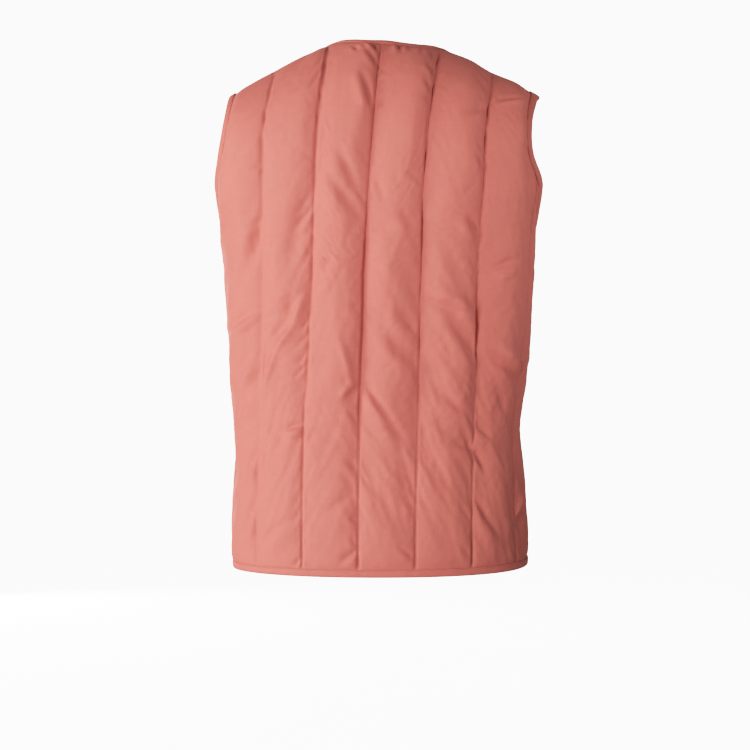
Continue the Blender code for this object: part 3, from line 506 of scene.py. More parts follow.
class SnapSettings(bpy.types.PropertyGroup):
    """Snap caps on the front."""

    colour: colour_property("Metal", "Tone of the nickel plating", "#cbc8c4")
    count: IntProperty(name="Count", description="Snaps down the front", default=5, min=1)
    radius: length_property("Radius", "Half the width of a cap", 0.0065)
    height: length_property("Height", "How far a cap stands up", 0.0026)
    top: FloatProperty(name="Top", description="Rise of the highest snap", default=-0.205, unit="LENGTH")
    foot: FloatProperty(name="Foot", description="Rise of the lowest snap", default=-0.625, unit="LENGTH")


class StageSettings(bpy.types.PropertyGroup):
    """Floor, light and camera."""

    floor: colour_property("Floor", "Pale studio floor", "#cfcecd")
    drop: length_property("Drop", "From the hem down to the floor", 0.28)
    distance: length_property("Distance", "From the camera to the middle of the garment", 3.5)
    view: length_property("View", "Width that the picture takes in at the garment", 0.975)
    key: FloatProperty(name="Key light", description="Power of each large soft light", default=102.0)
    blade: FloatProperty(name="Blade light", description="Power of the narrow light", default=100.0)
    sky: FloatProperty(name="Sky", description="Strength of the even white light", default=0.255)


def smooth(share):
    """Eases from 0 to 1."""
    share = np.clip(share, 0.0, 1.0)
    return share * share * (3.0 - 2.0 * share)


def eased(value, band):
    """Eases from 0 to 1 between a band's two ends."""
    return smooth((value - band[0]) / (band[1] - band[0]))


def ramp(value, length):
    """Rises evenly from 0 to 1 over a length."""
    return np.clip(value / length, 0.0, 1.0)


def unit(vectors):
    """Vectors made one long."""
    return vectors / np.linalg.norm(vectors, axis=-1, keepdims=True)


def run_length(points):
    """Length along a run of points, at each of them."""
    steps = np.linalg.norm(np.diff(points, axis=0), axis=1)
    return np.concatenate([[0.0], np.cumsum(steps)])


def curve_through(knots, values, at):
    """Smooth curve through a table's rows, level at both ends."""
    knots = np.asarray(knots, float)
    values = np.asarray(values, float)
    slopes = np.zeros_like(values)
    slopes[1:-1] = (values[2:] - values[:-2]) / (knots[2:] - knots[:-2])
    at = np.clip(at, knots[0], knots[-1])
    place = np.clip(np.searchsorted(knots, at, side="right") - 1, 0, len(knots) - 2)
    span = knots[place + 1] - knots[place]
    t = (at - knots[place]) / span
    start = (1.0 + 2.0 * t) * (1.0 - t) ** 2 * values[place]
    end = t * t * (3.0 - 2.0 * t) * values[place + 1]
    leave = t * (1.0 - t) ** 2 * span * slopes[place]
    arrive = t * t * (t - 1.0) * span * slopes[place + 1]
    return start + end + leave + arrive


def column(table, name):
    """Values of one column of a table."""
    return [getattr(row, name) for row in table]


def section(rise, name):
    """Half width or depth of the level section at a rise."""
    return curve_through(column(SECTIONS, "rise"), column(SECTIONS, name), rise)


def quarter_ring(rise, side, face):
    """Quarter of a level section, from the centre line to the side seam: x, y and the length along it."""
    level = np.minimum(rise, BLADE_RISE)
    half = np.where(side > 0, section(level, "left"), section(level, "right"))[..., None]
    depth = section(level, "back" if face == BACK else "front")[..., None]
    turn = np.linspace(0.0, math.pi / 2.0, RING_STEPS + 1)
    power = 2.0 / np.interp(level, (HEM_RISE, BLADE_RISE), ROUNDNESS)[..., None]
    x = half * np.sin(turn) ** power
    y = depth * np.cos(turn).clip(0.0) ** power
    steps = np.hypot(np.diff(x), np.diff(y))
    length = np.concatenate([np.zeros_like(half), np.cumsum(steps, axis=-1)], axis=-1)
    return x, y, length


def read_off(scale, values, target):
    """Reads each row of values at the place where that row of scale reaches the target."""
    index = np.clip((scale < target[..., None]).sum(axis=-1), 1, scale.shape[-1] - 1)

    def pick(table, at):
        return np.take_along_axis(table, at[..., None], axis=-1)[..., 0]

    low = pick(scale, index - 1)
    share = np.clip((target - low) / (pick(scale, index) - low), 0.0, 1.0)
    return [pick(v, index - 1) * (1.0 - share) + pick(v, index) * share for v in values]


def side_reach(rise, side, face):
    """Reach of the side seam."""
    rise = np.asarray(rise, float)
    return quarter_ring(rise, np.full_like(rise, side), face)[2][..., -1]


def reach_of(x, rise, face):
    """Reach of the place on the cloth that lies at x."""
    x, rise = np.broadcast_arrays(np.asarray(x, float), np.asarray(rise, float))
    ring_x, _, length = quarter_ring(rise, x, face)
    return np.copysign(read_off(ring_x, [length], np.abs(x))[0], x)


def ridge_height(x):
    """Height of the shoulder line above each x."""
    out = np.hypot(x - SHOULDER_CENTRE, SHOULDER_SOFTNESS) - SHOULDER_START
    from_neck = smooth((-x - SHOULDER_DIP_ENDS[0]) / SHOULDER_DIP_RAMP)
    from_tip = smooth((SHOULDER_DIP_ENDS[1] + x) / SHOULDER_DIP_RAMP)
    dip = SHOULDER_DIP * from_neck * from_tip
    return -(SHOULDER_DROP + SHOULDER_SLOPE * out + SHOULDER_CURVE * out * out + dip)


def surface(reach, rise, face):
    """Point on the inside of the cloth."""
    reach, rise = np.broadcast_arrays(np.asarray(reach, float), np.asarray(rise, float))
    ring_x, ring_y, length = quarter_ring(rise, reach, face)
    x, y = read_off(length, [ring_x, ring_y], np.abs(reach))
    x = np.copysign(x, reach)
    roll = ramp(rise - BLADE_RISE, ROLL_LENGTH) * math.pi / 2.0
    z = np.minimum(rise, BLADE_RISE) + (ridge_height(x) - BLADE_RISE) * np.sin(roll)
    return np.stack([x, face * (y * np.cos(roll) - SEAM_LAP), z], axis=-1)


def directions(reach, rise, face):
    """How the cloth runs across and up at a place, measured just inside its seams."""
    step = SLOPE_STEP
    seam = np.where(reach > 0, side_reach(rise, LEFT, face), side_reach(rise, RIGHT, face))
    reach = np.copysign(np.minimum(np.abs(reach), seam - 2.0 * step), reach)
    rise = np.minimum(rise, TOP_RISE - 2.0 * step)
    across = surface(reach + step, rise, face) - surface(reach - step, rise, face)
    up = surface(reach, rise + step, face) - surface(reach, rise - step, face)
    return across / (2.0 * step), up / (2.0 * step)


def outward(reach, rise, face):
    """Way that the cloth faces."""
    across, up = directions(reach, rise, face)
    return unit(-face * np.cross(across, up))


def inset(reach, rise, face, turn, width):
    """Edge moved into the panel by the binding's width, at right angles to itself on the cloth."""
    across, up = directions(reach, rise, face)
    along_reach, along_rise = np.gradient(reach), np.gradient(rise)
    across_square = (across * across).sum(axis=-1)
    shear = (across * up).sum(axis=-1)
    up_square = (up * up).sum(axis=-1)
    move_reach = -turn * (shear * along_reach + up_square * along_rise)
    move_rise = turn * (across_square * along_reach + shear * along_rise)
    square = across_square * move_reach**2 + 2.0 * shear * move_reach * move_rise + up_square * move_rise**2
    length = np.sqrt(square)
    return reach + width / length * move_reach, rise + width / length * move_rise


def margin_line(reach, rise, face, turn, width, posts):
    """Inset of an edge at some posts along it, with straight runs between them, so that it can't cross
    itself at a corner."""
    moved = inset(reach[posts], rise[posts], face, turn, width)
    return [np.interp(np.arange(len(reach)), posts, values) for values in moved]


def hem_rise(reach, face):
    """Height of the hem. Past a side seam it is that seam's."""
    side = side_reach(np.full_like(reach, HEM_RISE), LEFT, face)
    share = np.clip(reach / side, -1.0, 1.0)
    lift = HEM_LIFT * np.clip(-share, 0.0, 1.0) ** HEM_LIFT_POWER
    return HEM_RISE - HEM_DROP * (1.0 - share**2) + lift


def spaced(reach, rise, face, count, margin_first):
    """Points evenly along an edge, but for one that is a binding's width from its first or last end."""
    length = run_length(surface(reach, rise, face))
    margin = bpy.context.scene.gilet_sewing.width / length[-1]
    if margin_first:
        shares = np.concatenate([[0.0], np.linspace(margin, 1.0, count)])
    else:
        shares = np.concatenate([np.linspace(0.0, 1.0 - margin, count), [1.0]])
    at = shares * length[-1]
    return np.interp(at, length, reach), np.interp(at, length, rise)


def joined_edge(lower, upper, face, corner_row):
    """One side of a panel, from hem to shoulder, with a row at the corner between its two stretches."""
    low_reach, low_rise = spaced(*lower, face, corner_row, True)
    top_reach, top_rise = spaced(*upper, face, ROWS - corner_row, False)
    return np.concatenate([low_reach, top_reach[1:]]), np.concatenate([low_rise, top_rise[1:]])


def side_edge(face, side):
    """Side seam and armhole of a panel."""
    seam_rise = np.linspace(hem_rise(np.array([side * 1.0]), face)[0], UNDERARM_RISE, EDGE_STEPS)
    seam_reach = side * side_reach(seam_rise, side, face)
    name = ("back" if face == BACK else "front") + ("_left" if side == LEFT else "_right")
    rises = column(ARMHOLES, "rise")
    edge_rise = np.linspace(rises[0], rises[-1], EDGE_STEPS)
    edge_x = side * curve_through(rises, column(ARMHOLES, name), edge_rise)
    edge_reach = reach_of(edge_x, edge_rise, face)
    turn = np.linspace(0.0, math.pi / 2.0, EDGE_STEPS)[:-1]
    corner_reach = seam_reach[-1] + (edge_reach[0] - seam_reach[-1]) * np.sin(turn)
    corner_rise = UNDERARM_RISE + (rises[0] - UNDERARM_RISE) * (1.0 - np.cos(turn))
    armhole = np.concatenate([corner_reach, edge_reach]), np.concatenate([corner_rise, edge_rise])
    return joined_edge((seam_reach, seam_rise), armhole, face, UNDERARM_ROW)


def front_edge(side):
    """Front edge, a lap past the centre, and the slanting neckline above it."""
    start = hem_rise(np.array([-side * LAP]), FRONT)[0]
    straight_rise = np.linspace(start, NECK_FRONT_RISE, EDGE_STEPS)
    straight_reach = np.full_like(straight_rise, -side * LAP)
    share = np.linspace(0.0, 1.0, EDGE_STEPS)
    neck_rise = NECK_FRONT_RISE + (TOP_RISE - NECK_FRONT_RISE) * share
    neck_end = reach_of(NECK_CENTRE + side * NECK_HALF, TOP_RISE, FRONT)
    neck_reach = -side * LAP + (neck_end + side * LAP) * (1.0 - (1.0 - share) ** NECK_FRONT_CURVE)
    return joined_edge((straight_reach, straight_rise), (neck_reach, neck_rise), FRONT, NECK_FOOT_ROW)


def back_line(number, rise):
    """Reach of a quilting line of the back."""
    share = ramp(rise - HEM_RISE, NECK_BACK_RISE - HEM_RISE)
    middle = MIDDLE_LINE_AT_HEM + MIDDLE_LINE_SHIFT * share**MIDDLE_LINE_CURVE
    stray = curve_through(column(LINE_STRAYS, "rise"), column(LINE_STRAYS, BACK_LINES[number]), rise)
    return middle + number * (CHANNEL_AT_HEM + (CHANNEL_AT_NECK - CHANNEL_AT_HEM) * share) + stray


def front_line(number, side):
    """Reach of a quilting line of a front."""
    return side * (LAP + number * CHANNEL_AT_HEM)


def neck_rise_at(reach):
    """Top edge of the back: the neckline, and the shoulder seam on both sides of it."""
    x = surface(reach, np.full_like(reach, TOP_RISE), BACK)[..., 0]
    out = ramp(np.abs(x - NECK_CENTRE), NECK_HALF)
    return NECK_BACK_RISE + (TOP_RISE - NECK_BACK_RISE) * out**NECK_CURVE


def shares_of(count):
    """Inner places of a channel's columns, closer together by the seams: halfway from even to a cosine's."""
    even = np.linspace(0.0, 1.0, count + 1)[1:-1]
    bunched = (1.0 - np.cos(math.pi * even)) / 2.0
    return (even + bunched) / 2.0


def columns_between(low, high, lines):
    """Reach of every column in a row, and which of them are the flat margins' edges and quilting lines."""
    shares = [shares_of(EDGE_COLUMNS)] + [shares_of(CHANNEL_COLUMNS)] * (len(lines) - 1)
    shares.append(shares_of(EDGE_COLUMNS))
    before = np.cumsum([len(s) + 1 for s in shares])
    least = low + before[:-1] * LEAST_COLUMN
    most = high - (before[-1] - before[:-1]) * LEAST_COLUMN
    rails = np.concatenate([[low], np.clip(lines, least, most), [high]])
    found = [low]
    for start, end, between in zip(rails[:-1], rails[1:], shares):
        found += [start + (end - start) * share for share in between]
        found.append(end)
    return np.array(found), np.concatenate([[0], before])


def panel_places(face, low_edge, high_edge, top_rise, lines_at, neck_points=()):
    """Reach and rise of every grid point of a panel, columns first, rows from the hem up."""
    low_reach, low_rise = low_edge
    high_reach, high_rise = high_edge
    margin = bpy.context.scene.gilet_sewing.width

    def edge_row(row, at_rise):
        inner, _ = columns_between(low_reach[row] + margin, high_reach[row] - margin, lines_at(at_rise))
        return np.concatenate([[low_reach[row]], inner, [high_reach[row]]])

    # Columns of the top row, some of which are moved to the neckline's ends
    top = edge_row(ROWS, TOP_RISE)
    neck_columns = []
    row_posts = np.arange(0, ROWS + 1, ROW_STEP)
    column_posts = np.arange(1, len(top) - 1, COLUMN_STEP)
    _, rails = columns_between(top[1], top[-2], lines_at(TOP_RISE))
    free = np.setdiff1d(column_posts, rails + 1)
    for point in neck_points:
        nearest = int(free[np.argmin(np.abs(top[free] - point))])
        top[nearest] = point
        neck_columns.append(nearest)
    posts = np.concatenate([[0], column_posts, [len(top) - 1]])
    shift = np.interp(np.arange(len(top)), posts, (top - edge_row(ROWS, TOP_RISE))[posts])
    top = edge_row(ROWS, TOP_RISE) + shift
    # Rim of the panel and the inner edges of its margins
    bottom = edge_row(0, HEM_RISE)
    reach = np.zeros((len(top), ROWS + 1))
    rise = np.zeros_like(reach)
    reach[0], reach[-1] = low_reach, high_reach
    rise[0], rise[-1] = low_rise, high_rise
    reach[1, :], rise[1, :] = margin_line(low_reach, low_rise, face, -1, margin, row_posts)
    reach[-2, :], rise[-2, :] = margin_line(high_reach, high_rise, face, 1, margin, row_posts)
    reach[1:-1, 0], rise[1:-1, 0] = bottom[1:-1], hem_rise(bottom, face)[1:-1]
    reach[1:-1, ROWS], rise[1:-1, ROWS] = top[1:-1], top_rise(top)[1:-1]
    for row, turn in ((0, 1), (ROWS, -1)):
        moved = margin_line(reach[:, row], rise[:, row], face, turn, margin, posts)
        inner_row = 1 if row == 0 else ROWS - 1
        reach[1:-1, inner_row], rise[1:-1, inner_row] = moved[0][1:-1], moved[1][1:-1]
    # Rows between the margins, which bend up or down to meet the sides
    spread = (bottom[1:-1] - bottom[1]) / (bottom[-2] - bottom[1])
    low_pull = (1.0 - spread) ** CORNER_PULL
    high_pull = spread**CORNER_PULL
    for row in range(2, ROWS - 1):
        share = (row - 1.0) / (ROWS - 2.0)
        base = rise[1:-1, 1] + (rise[1:-1, ROWS - 1] - rise[1:-1, 1]) * share
        level = base + low_pull * (rise[1, row] - base[0]) + high_pull * (rise[-2, row] - base[-1])
        places, rails = columns_between(reach[1, row], reach[-2, row], lines_at(level[len(level) // 2]))
        near_top = eased(share, (SHOULDER_ROWS, 1.0))
        reach[2:-2, row] = places[1:-1] + near_top * shift[2:-2]
        rise[2:-2, row] = level[1:-1]
    return reach, rise, rails + 1, neck_columns


def nearest_distance(points, edges):
    """Distance from each point to the nearest of some edges given by points close together."""
    places = np.concatenate(edges)
    tree = KDTree(len(places))
    for index, place in enumerate(places):
        tree.insert(place, index)
    tree.balance()
    found = [tree.find(point)[2] for point in points.reshape(-1, 3)]
    return np.array(found).reshape(points.shape[:-1])


def rough(*axes):
    """Smooth noise between about -1 and 1 at places given by up to three coordinates."""
    axes = np.broadcast_arrays(*axes, 0.0, 0.0)[:3]
    places = np.stack(axes, axis=-1)
    found = [noise.noise(place) for place in places.reshape(-1, 3)]
    return np.array(found).reshape(places.shape[:-1])


def patches(kind, across, along, seed, bend=0.0):
    """Noise in patches of one kind, shifted across by a bend."""
    return kind.depth * rough(across / kind.across + bend, along / kind.along, seed + kind.seed)


def lowered(rise, share):
    """Eases from a share low on the body to the whole above."""
    return share + (1.0 - share) * eased(rise, PUFF_BAND)


def fullness(face, reach, rise):
    """Share of the padding's height, less high on the left of the back."""
    if face != BACK:
        return np.ones_like(reach)
    flat = eased(reach, FLAT_SIDE) * lowered(rise, 0.0)
    return 1.0 - (1.0 - FLAT_PUFF) * flat


def channel_puff(face, reach, rise, lines, seed):
    """Pillow shape across the channels, with 0 on each line and 1 in the middle of a full channel. Its crest
    wanders from side to side down the channel, and its height changes."""
    height = np.zeros_like(reach)
    for number, (low, high) in enumerate(zip(lines[:-1], lines[1:])):
        width = high - low
        phase = (reach - low) / width
        inside = (phase > 0.0) & (phase < 1.0)
        wander = LEAN * rough(rise / LEAN_LENGTH, seed + CHANNEL_SEED * number)
        change = rough(rise / LEAN_LENGTH, seed + CHANNEL_SEED * number + HEIGHT_SEED)
        phase = np.clip(phase, 0.0, 1.0)
        crest = 0.5 + wander
        if face == BACK:
            shares = column(CRESTS, BACK_CHANNELS[number])
            crest = 1.0 - curve_through(column(CRESTS, "rise"), shares, rise) + BACK_LEAN * wander
        slope = np.minimum(phase / crest, (1.0 - phase) / (1.0 - crest))
        roof = 1.0 - (np.hypot(1.0 - slope, CREST) - CREST) / (math.hypot(1.0, CREST) - CREST)
        pillow = np.sin(math.pi * phase ** (math.log(0.5) / np.log(crest))).clip(0.0) ** PUFF_POWER
        pillow = (ROOF * roof + (1.0 - ROOF) * pillow) * (1.0 + HEIGHT_CHANGE * change)
        pillow = pillow * lowered(rise, LOW_PUFF)
        height = np.where(inside, pillow * np.minimum(1.0, width / CHANNEL_AT_HEM), height)
    return height * fullness(face, reach, rise)


def drag_height(reach, rise, seed):
    """Soft slanting hollows and ridges, deeper in some places, that lean the other way past the turn."""
    share = smooth((PUCKER_TURN - reach) / DRAG_MIX + 0.5)
    length = math.hypot(1.0, DRAG_SLANT)
    bend = patches(BENDS, reach, rise, seed)
    strength = np.clip(DRAG_MEAN + patches(CHANGES, reach, rise, seed), *DRAG_LIMITS)
    strength = strength * (1.0 - DRAG_TOP_LOSS * eased(rise, DRAG_TOP))
    height = np.zeros_like(reach)
    for lean, part in ((DRAG_SLANT, 1.0 - share), (-DRAG_SLANT, share)):
        across = (reach + lean * rise) / length
        along = (rise - lean * reach) / length
        hollow = patches(HOLLOWS, across, along, seed, bend)
        fold = np.abs(patches(FOLDS, across, along, seed, bend))
        crumple = np.abs(patches(CRUMPLES, across, along, seed, bend))
        height += part * strength * (hollow - fold - crumple)
    return DRAG_DEPTH * height


def crease_height(reach, rise, creases):
    """Creases as soft troughs along short slanting runs, each with a swell along one side."""
    height = np.zeros_like(reach)
    for crease in creases:
        run = math.hypot(crease.run, crease.climb)
        across, up = reach - crease.reach, rise - crease.rise
        along = (across * crease.run + up * crease.climb) / run
        below = (across * crease.climb - up * crease.run) / run
        taper = np.clip(1.0 - (along / (CREASE_TAIL * run)) ** 2, 0.0, 1.0) ** 2
        side = math.copysign(SWELL_PLACE * crease.breadth, crease.swell)
        trough = np.exp(-((below / crease.breadth) ** 2))
        beside = np.exp(-(((below - side) / (SWELL_BREADTH * crease.breadth)) ** 2))
        height += crease.depth * taper * (abs(crease.swell) * beside - trough)
    return height


def seam_puckers(lines_at, seed):
    """Short slanting creases beside the quilting lines, uneven in spacing, length and depth."""
    draw = np.random.default_rng(seed)
    puckers = []
    for line in range(len(lines_at(HEM_RISE))):
        for side, share in PUCKER_SIDES:
            rise = HEM_RISE + draw.uniform(*PUCKER_START)
            while rise < NECK_BACK_RISE - PUCKER_STOP:
                reach = lines_at(rise)[line]
                slant = -1.0 if reach > PUCKER_TURN else 1.0
                run = draw.uniform(*PUCKER_RUN)
                climb = run * draw.uniform(*PUCKER_CLIMB) * slant
                depth = share * draw.uniform(*PUCKER_DEPTH)
                breadth = draw.uniform(*PUCKER_BREADTH)
                place = reach + side * (run + PUCKER_OFF)
                puckers.append(Crease(place, rise, run, climb, depth, breadth, PUCKER_SWELL))
                rise += draw.uniform(*PUCKER_STEP)
    return puckers


def panel_of(face, places, lines, inward, bound, seams):
    """Panel with its inside, its facing and its distances from bindings and seams."""
    reach, rise, rails, neck = places
    normal = outward(reach, rise, face)
    inner = surface(reach, rise, face)
    bound_edges = [inner[at] for at in bound]
    seam_edges = [inner[at] for at in seams]
    return Panel(
        face, reach, rise, inner - normal * inward[..., None], normal, lines, rails,
        nearest_distance(inner, bound_edges), nearest_distance(inner, seam_edges), neck,
    )


def flare(places, face, side, edge, seam):
    """How far an armhole's edge stands off, less towards the seams at its ends."""
    away = nearest_distance(places, [places[edge]])
    from_seam = nearest_distance(places, [places[at] for at in seam])
    width = bpy.context.scene.gilet_sewing.width
    lift = FLARE[face, side] * (1.0 - ramp(away, FLARE_WIDTH * width)) ** FLARE_POWER
    return lift * smooth(from_seam / FLARE_FADE)


def back_panel():
    """Back panel. Its columns run from the right side seam to the left one."""
    low, high = side_edge(BACK, RIGHT), side_edge(BACK, LEFT)
    neck_points = [reach_of(NECK_CENTRE + side * NECK_HALF, TOP_RISE, BACK) for side in (RIGHT, LEFT)]

    def lines_at(rise):
        return np.array([back_line(number, rise) for number in BACK_LINES])

    places = panel_places(BACK, low, high, neck_rise_at, lines_at, neck_points)
    reach, rise, _, neck = places
    lines = [-side_reach(rise, RIGHT, BACK)]
    lines += [back_line(number, rise) for number in BACK_LINES]
    lines.append(side_reach(rise, LEFT, BACK))
    low_armhole, high_armhole = np.s_[0, UNDERARM_ROW:], np.s_[-1, UNDERARM_ROW:]
    bound = [np.s_[:, 0], low_armhole, high_armhole, np.s_[neck[0] : neck[1] + 1, ROWS]]
    seams = [np.s_[0, : UNDERARM_ROW + 1], np.s_[-1, : UNDERARM_ROW + 1]]
    seams += [np.s_[: neck[0] + 1, ROWS], np.s_[neck[1] :, ROWS]]
    inner = surface(reach, rise, BACK)
    inward = -flare(inner, BACK, RIGHT, low_armhole, seams) - flare(inner, BACK, LEFT, high_armhole, seams)
    return panel_of(BACK, places, lines, inward, bound, seams)


def front_panel(side):
    """Front panel. Its columns run with growing reach, so the left one starts at its front edge."""
    edges = [front_edge(side), side_edge(FRONT, side)]
    if side == RIGHT:
        edges.reverse()

    def lines_at(rise):
        return np.sort([front_line(number, side) for number in FRONT_LINES])

    def shoulder(reach):
        return np.full_like(reach, TOP_RISE)

    places = panel_places(FRONT, edges[0], edges[1], shoulder, lines_at)
    reach, rise = places[:2]
    lines = [np.full_like(reach, front_line(number, side)) for number in FRONT_LINES]
    lines.append(side * side_reach(rise, side, FRONT))
    if side == RIGHT:
        lines.reverse()
    opening, away = (0, -1) if side == LEFT else (-1, 0)
    bound = [np.s_[:, 0], np.s_[opening], np.s_[away, UNDERARM_ROW:]]
    seams = [np.s_[away, : UNDERARM_ROW + 1], np.s_[:, ROWS]]
    inward = np.zeros_like(reach)
    if side == RIGHT:
        inward = LAP_DEPTH * (1.0 - eased(-reach, LAP_FADE))
        inward = inward * (1.0 - smooth((rise - LAP_TOP) / LAP_RUN_OUT))
    inward = inward - flare(surface(reach, rise, FRONT), FRONT, side, bound[-1], seams)
    return panel_of(FRONT, places, lines, inward, bound, seams)


def fill_margins(grid):
    """Adds columns and rows inside the margins, which are one binding wide."""
    for axis in (0, 1):
        grid = np.moveaxis(grid, axis, 0)
        steps = np.arange(MARGIN_STEPS) / MARGIN_STEPS
        first = [grid[0] + (grid[1] - grid[0]) * step for step in steps]
        last = [grid[-1] + (grid[-2] - grid[-1]) * step for step in steps[::-1]]
        grid = np.moveaxis(np.concatenate([first, grid[1:-1], last]), 0, axis)
    return grid


def refine(grid, breaks):
    """Doubles the columns with a smooth curve through them that stays sharp at the breaks. Each new column
    comes from the four around it, as a cubic through them gives it."""
    sharp = np.zeros(len(grid), bool)
    sharp[list(breaks) + [0, -1]] = True
    start, end = grid[:-1], grid[1:]
    before = np.concatenate([grid[:1], grid[:-2]])
    after = np.concatenate([grid[2:], grid[-1:]])
    shape = (-1,) + (1,) * (grid.ndim - 1)
    before = np.where(sharp[:-1].reshape(shape), 2.0 * start - end, before)
    after = np.where(sharp[1:].reshape(shape), 2.0 * end - start, after)
    made = np.zeros((2 * len(grid) - 1,) + grid.shape[1:])
    made[::2] = grid
    made[1::2] = (9.0 * (start + end) - before - after) / 16.0
    return made


def refine_panel(grid, rails):
    """Doubles a panel's columns and rows, sharp along its quilting lines and margins."""
    grid = refine(grid, rails)
    rows = np.swapaxes(grid, 0, 1)
    rows = refine(rows, [MARGIN_STEPS, len(rows) - 1 - MARGIN_STEPS])
    return np.swapaxes(rows, 0, 1)


def quads(index):
    """Four-sided faces between neighbours in a grid of point numbers."""
    corners = [index[:-1, :-1], index[1:, :-1], index[1:, 1:], index[:-1, 1:]]
    return np.stack(corners, axis=-1).reshape(-1, 4)


def grid_faces(columns, rows, start=0, flip=False):
    """Faces of a grid whose points are numbered columns first."""
    faces = quads(np.arange(columns * rows).reshape(columns, rows) + start)
    return (faces[:, ::-1] if flip else faces).tolist()


def rim(columns, rows):
    """Point numbers round a grid's rim."""
    index = np.arange(columns * rows).reshape(columns, rows)
    return np.concatenate([index[:-1, 0], index[-1, :-1], index[:0:-1, -1], index[0, :0:-1]])


def tube_faces(rings, sides, closed=False):
    """Faces of a tube through rings of points, which is shut at both ends or closed into a loop."""
    index = np.arange(rings * sides).reshape(rings, sides)
    index = np.concatenate([index, index[:, :1]], axis=1)
    if closed:
        index = np.concatenate([index, index[:1]])
    faces = quads(index).tolist()
    if not closed:
        faces += [index[0, :-1].tolist(), index[-1, -2::-1].tolist()]
    return faces


def mesh_object(name, points, faces):
    """Smooth object in the scene."""
    mesh = bpy.data.meshes.new(name)
    mesh.from_pydata(points.tolist(), [], faces)
    mesh.validate()
    mesh.shade_smooth()
    obj = bpy.data.objects.new(name, mesh)
    bpy.context.scene.collection.objects.link(obj)
    return obj


def lay_flat(obj, cut):
    """Maps a piece to its cut, in metres, from the place of each of its points there."""
    layer = obj.data.uv_layers.new(name="cut")
    corner = np.zeros(len(obj.data.loops), np.int32)
    obj.data.loops.foreach_get("vertex_index", corner)
    layer.data.foreach_set("uv", cut[corner].astype(np.float32).ravel())


def swell(panel, outer, sewn):
    """Blows the shell up between its sewn lines with Blender's cloth, cut a little longer than its seams."""
    cloth = bpy.context.scene.gilet_cloth
    columns, rows = outer.shape[:2]
    faces = grid_faces(columns, rows, flip=panel.face == BACK)
    obj = mesh_object("shell", outer.reshape(-1, 3), faces)
    group = obj.vertex_groups.new(name="sewn")
    group.add(np.flatnonzero(sewn.reshape(-1)).tolist(), 1.0, "REPLACE")
    modifier = obj.modifiers.new("wadding", "CLOTH")
    settings = modifier.settings
    settings.quality = 5
    settings.mass = 0.0005
    settings.tension_stiffness = settings.compression_stiffness = 12.0
    settings.shear_stiffness = 4.0
    settings.bending_stiffness = 0.05
    settings.air_damping = 2.0
    settings.use_pressure = True
    settings.uniform_pressure_force = cloth.pressure
    settings.shrink_min = -cloth.ease
    settings.vertex_group_mass = group.name
    settings.effector_weights.gravity = 0.0
    modifier.collision_settings.use_collision = False
    scene = bpy.context.scene
    scene.frame_start, scene.frame_end = 1, cloth.frames
    for number in range(1, cloth.frames + 1):
        scene.frame_set(number)
    swollen = obj.evaluated_get(bpy.context.evaluated_depsgraph_get()).to_mesh()
    points = np.zeros(columns * rows * 3, np.float32)
    swollen.vertices.foreach_get("co", points)
    bpy.data.objects.remove(obj)
    scene.frame_set(1)
    moved = points.reshape(outer.shape).astype(float) - outer
    far = np.linalg.norm(moved, axis=-1, keepdims=True)
    return outer + moved * (cloth.most / np.maximum(far, cloth.most))


def shoulder_room(rise):
    """Share of the padding's height that is left towards the shoulder seams."""
    return ramp(TOP_RISE - rise, SHOULDER_FADE)


def make_panel(name, panel, creases, seed):
    """Closed wall of padded cloth: a swollen, creased outside over a plain backing. The coarse grid is padded
    and blown up, and the fine one made from it is creased."""
    cloth = bpy.context.scene.gilet_cloth
    width = bpy.context.scene.gilet_sewing.width
    fill = [fill_margins(v) for v in (panel.reach, panel.rise, panel.bound, panel.seam, panel.inner)]
    reach, rise, bound, seam, inner = fill
    normal = unit(fill_margins(panel.normal))
    lines = [fill_margins(line) for line in panel.lines]
    rails = [rail + MARGIN_STEPS - 1 for rail in panel.rails]
    free = bound - LIP * width
    room = ramp(free, PUFF_FADE) ** PUFF_POWER * ramp(seam, SEAM_FADE) ** PUFF_POWER * shoulder_room(rise)
    pillow = channel_puff(panel.face, reach, rise, lines, seed) * room
    off_line = np.min([np.abs(reach - line) for line in lines], axis=0)
    groove = cloth.groove * (1.0 - ramp(off_line, GROOVE_HALF)) * np.clip(room * GROOVE_ROOM, 0.0, 1.0)
    groove = groove * (1.0 - (1.0 - HIGH_GROOVE) * eased(rise, GROOVE_BAND))
    groove = groove + SEAM_DIP * (1.0 - ramp(seam, GROOVE_HALF)) * ramp(free, PUFF_FADE)
    outer = inner + normal * (cloth.wall - groove + cloth.puff * pillow)[..., None]
    sewn = pillow < SEWN_PUFF
    for rail in rails[1:-1]:
        sewn[rail] = True
    blown = shoulder_room(rise) * lowered(rise, LOW_SWELL)
    outer = outer + (swell(panel, outer, sewn) - outer) * blown[..., None]
    room = ramp(free, CREASE_FADE) * ramp(seam, SEAM_FADE)
    outer, reach, rise, room = [refine_panel(v, rails) for v in (outer, reach, rise, room)]
    fine_normal = unit(refine_panel(normal, rails))
    off_line = np.min([np.abs(reach - refine_panel(line, rails)) for line in lines], axis=0)
    hold = ramp(off_line, CREASE_FADE) ** CREASE_HOLD
    relief = hold * (cloth.crease * crease_height(reach, rise, creases) + drag_height(reach, rise, seed))
    cusp = CUSP * lowered(rise, LOW_CUSP) * shoulder_room(rise) ** 2 * fullness(panel.face, reach, rise)
    relief = relief + cusp * (1.0 - np.exp(-off_line / CUSP_LENGTH))
    outer = outer + fine_normal * (relief * np.clip(room, 0.0, 1.0))[..., None]
    backing = inner - normal * (cloth.backing * pillow)[..., None]
    return panel_object(name, panel.face, outer, reach, rise, backing)


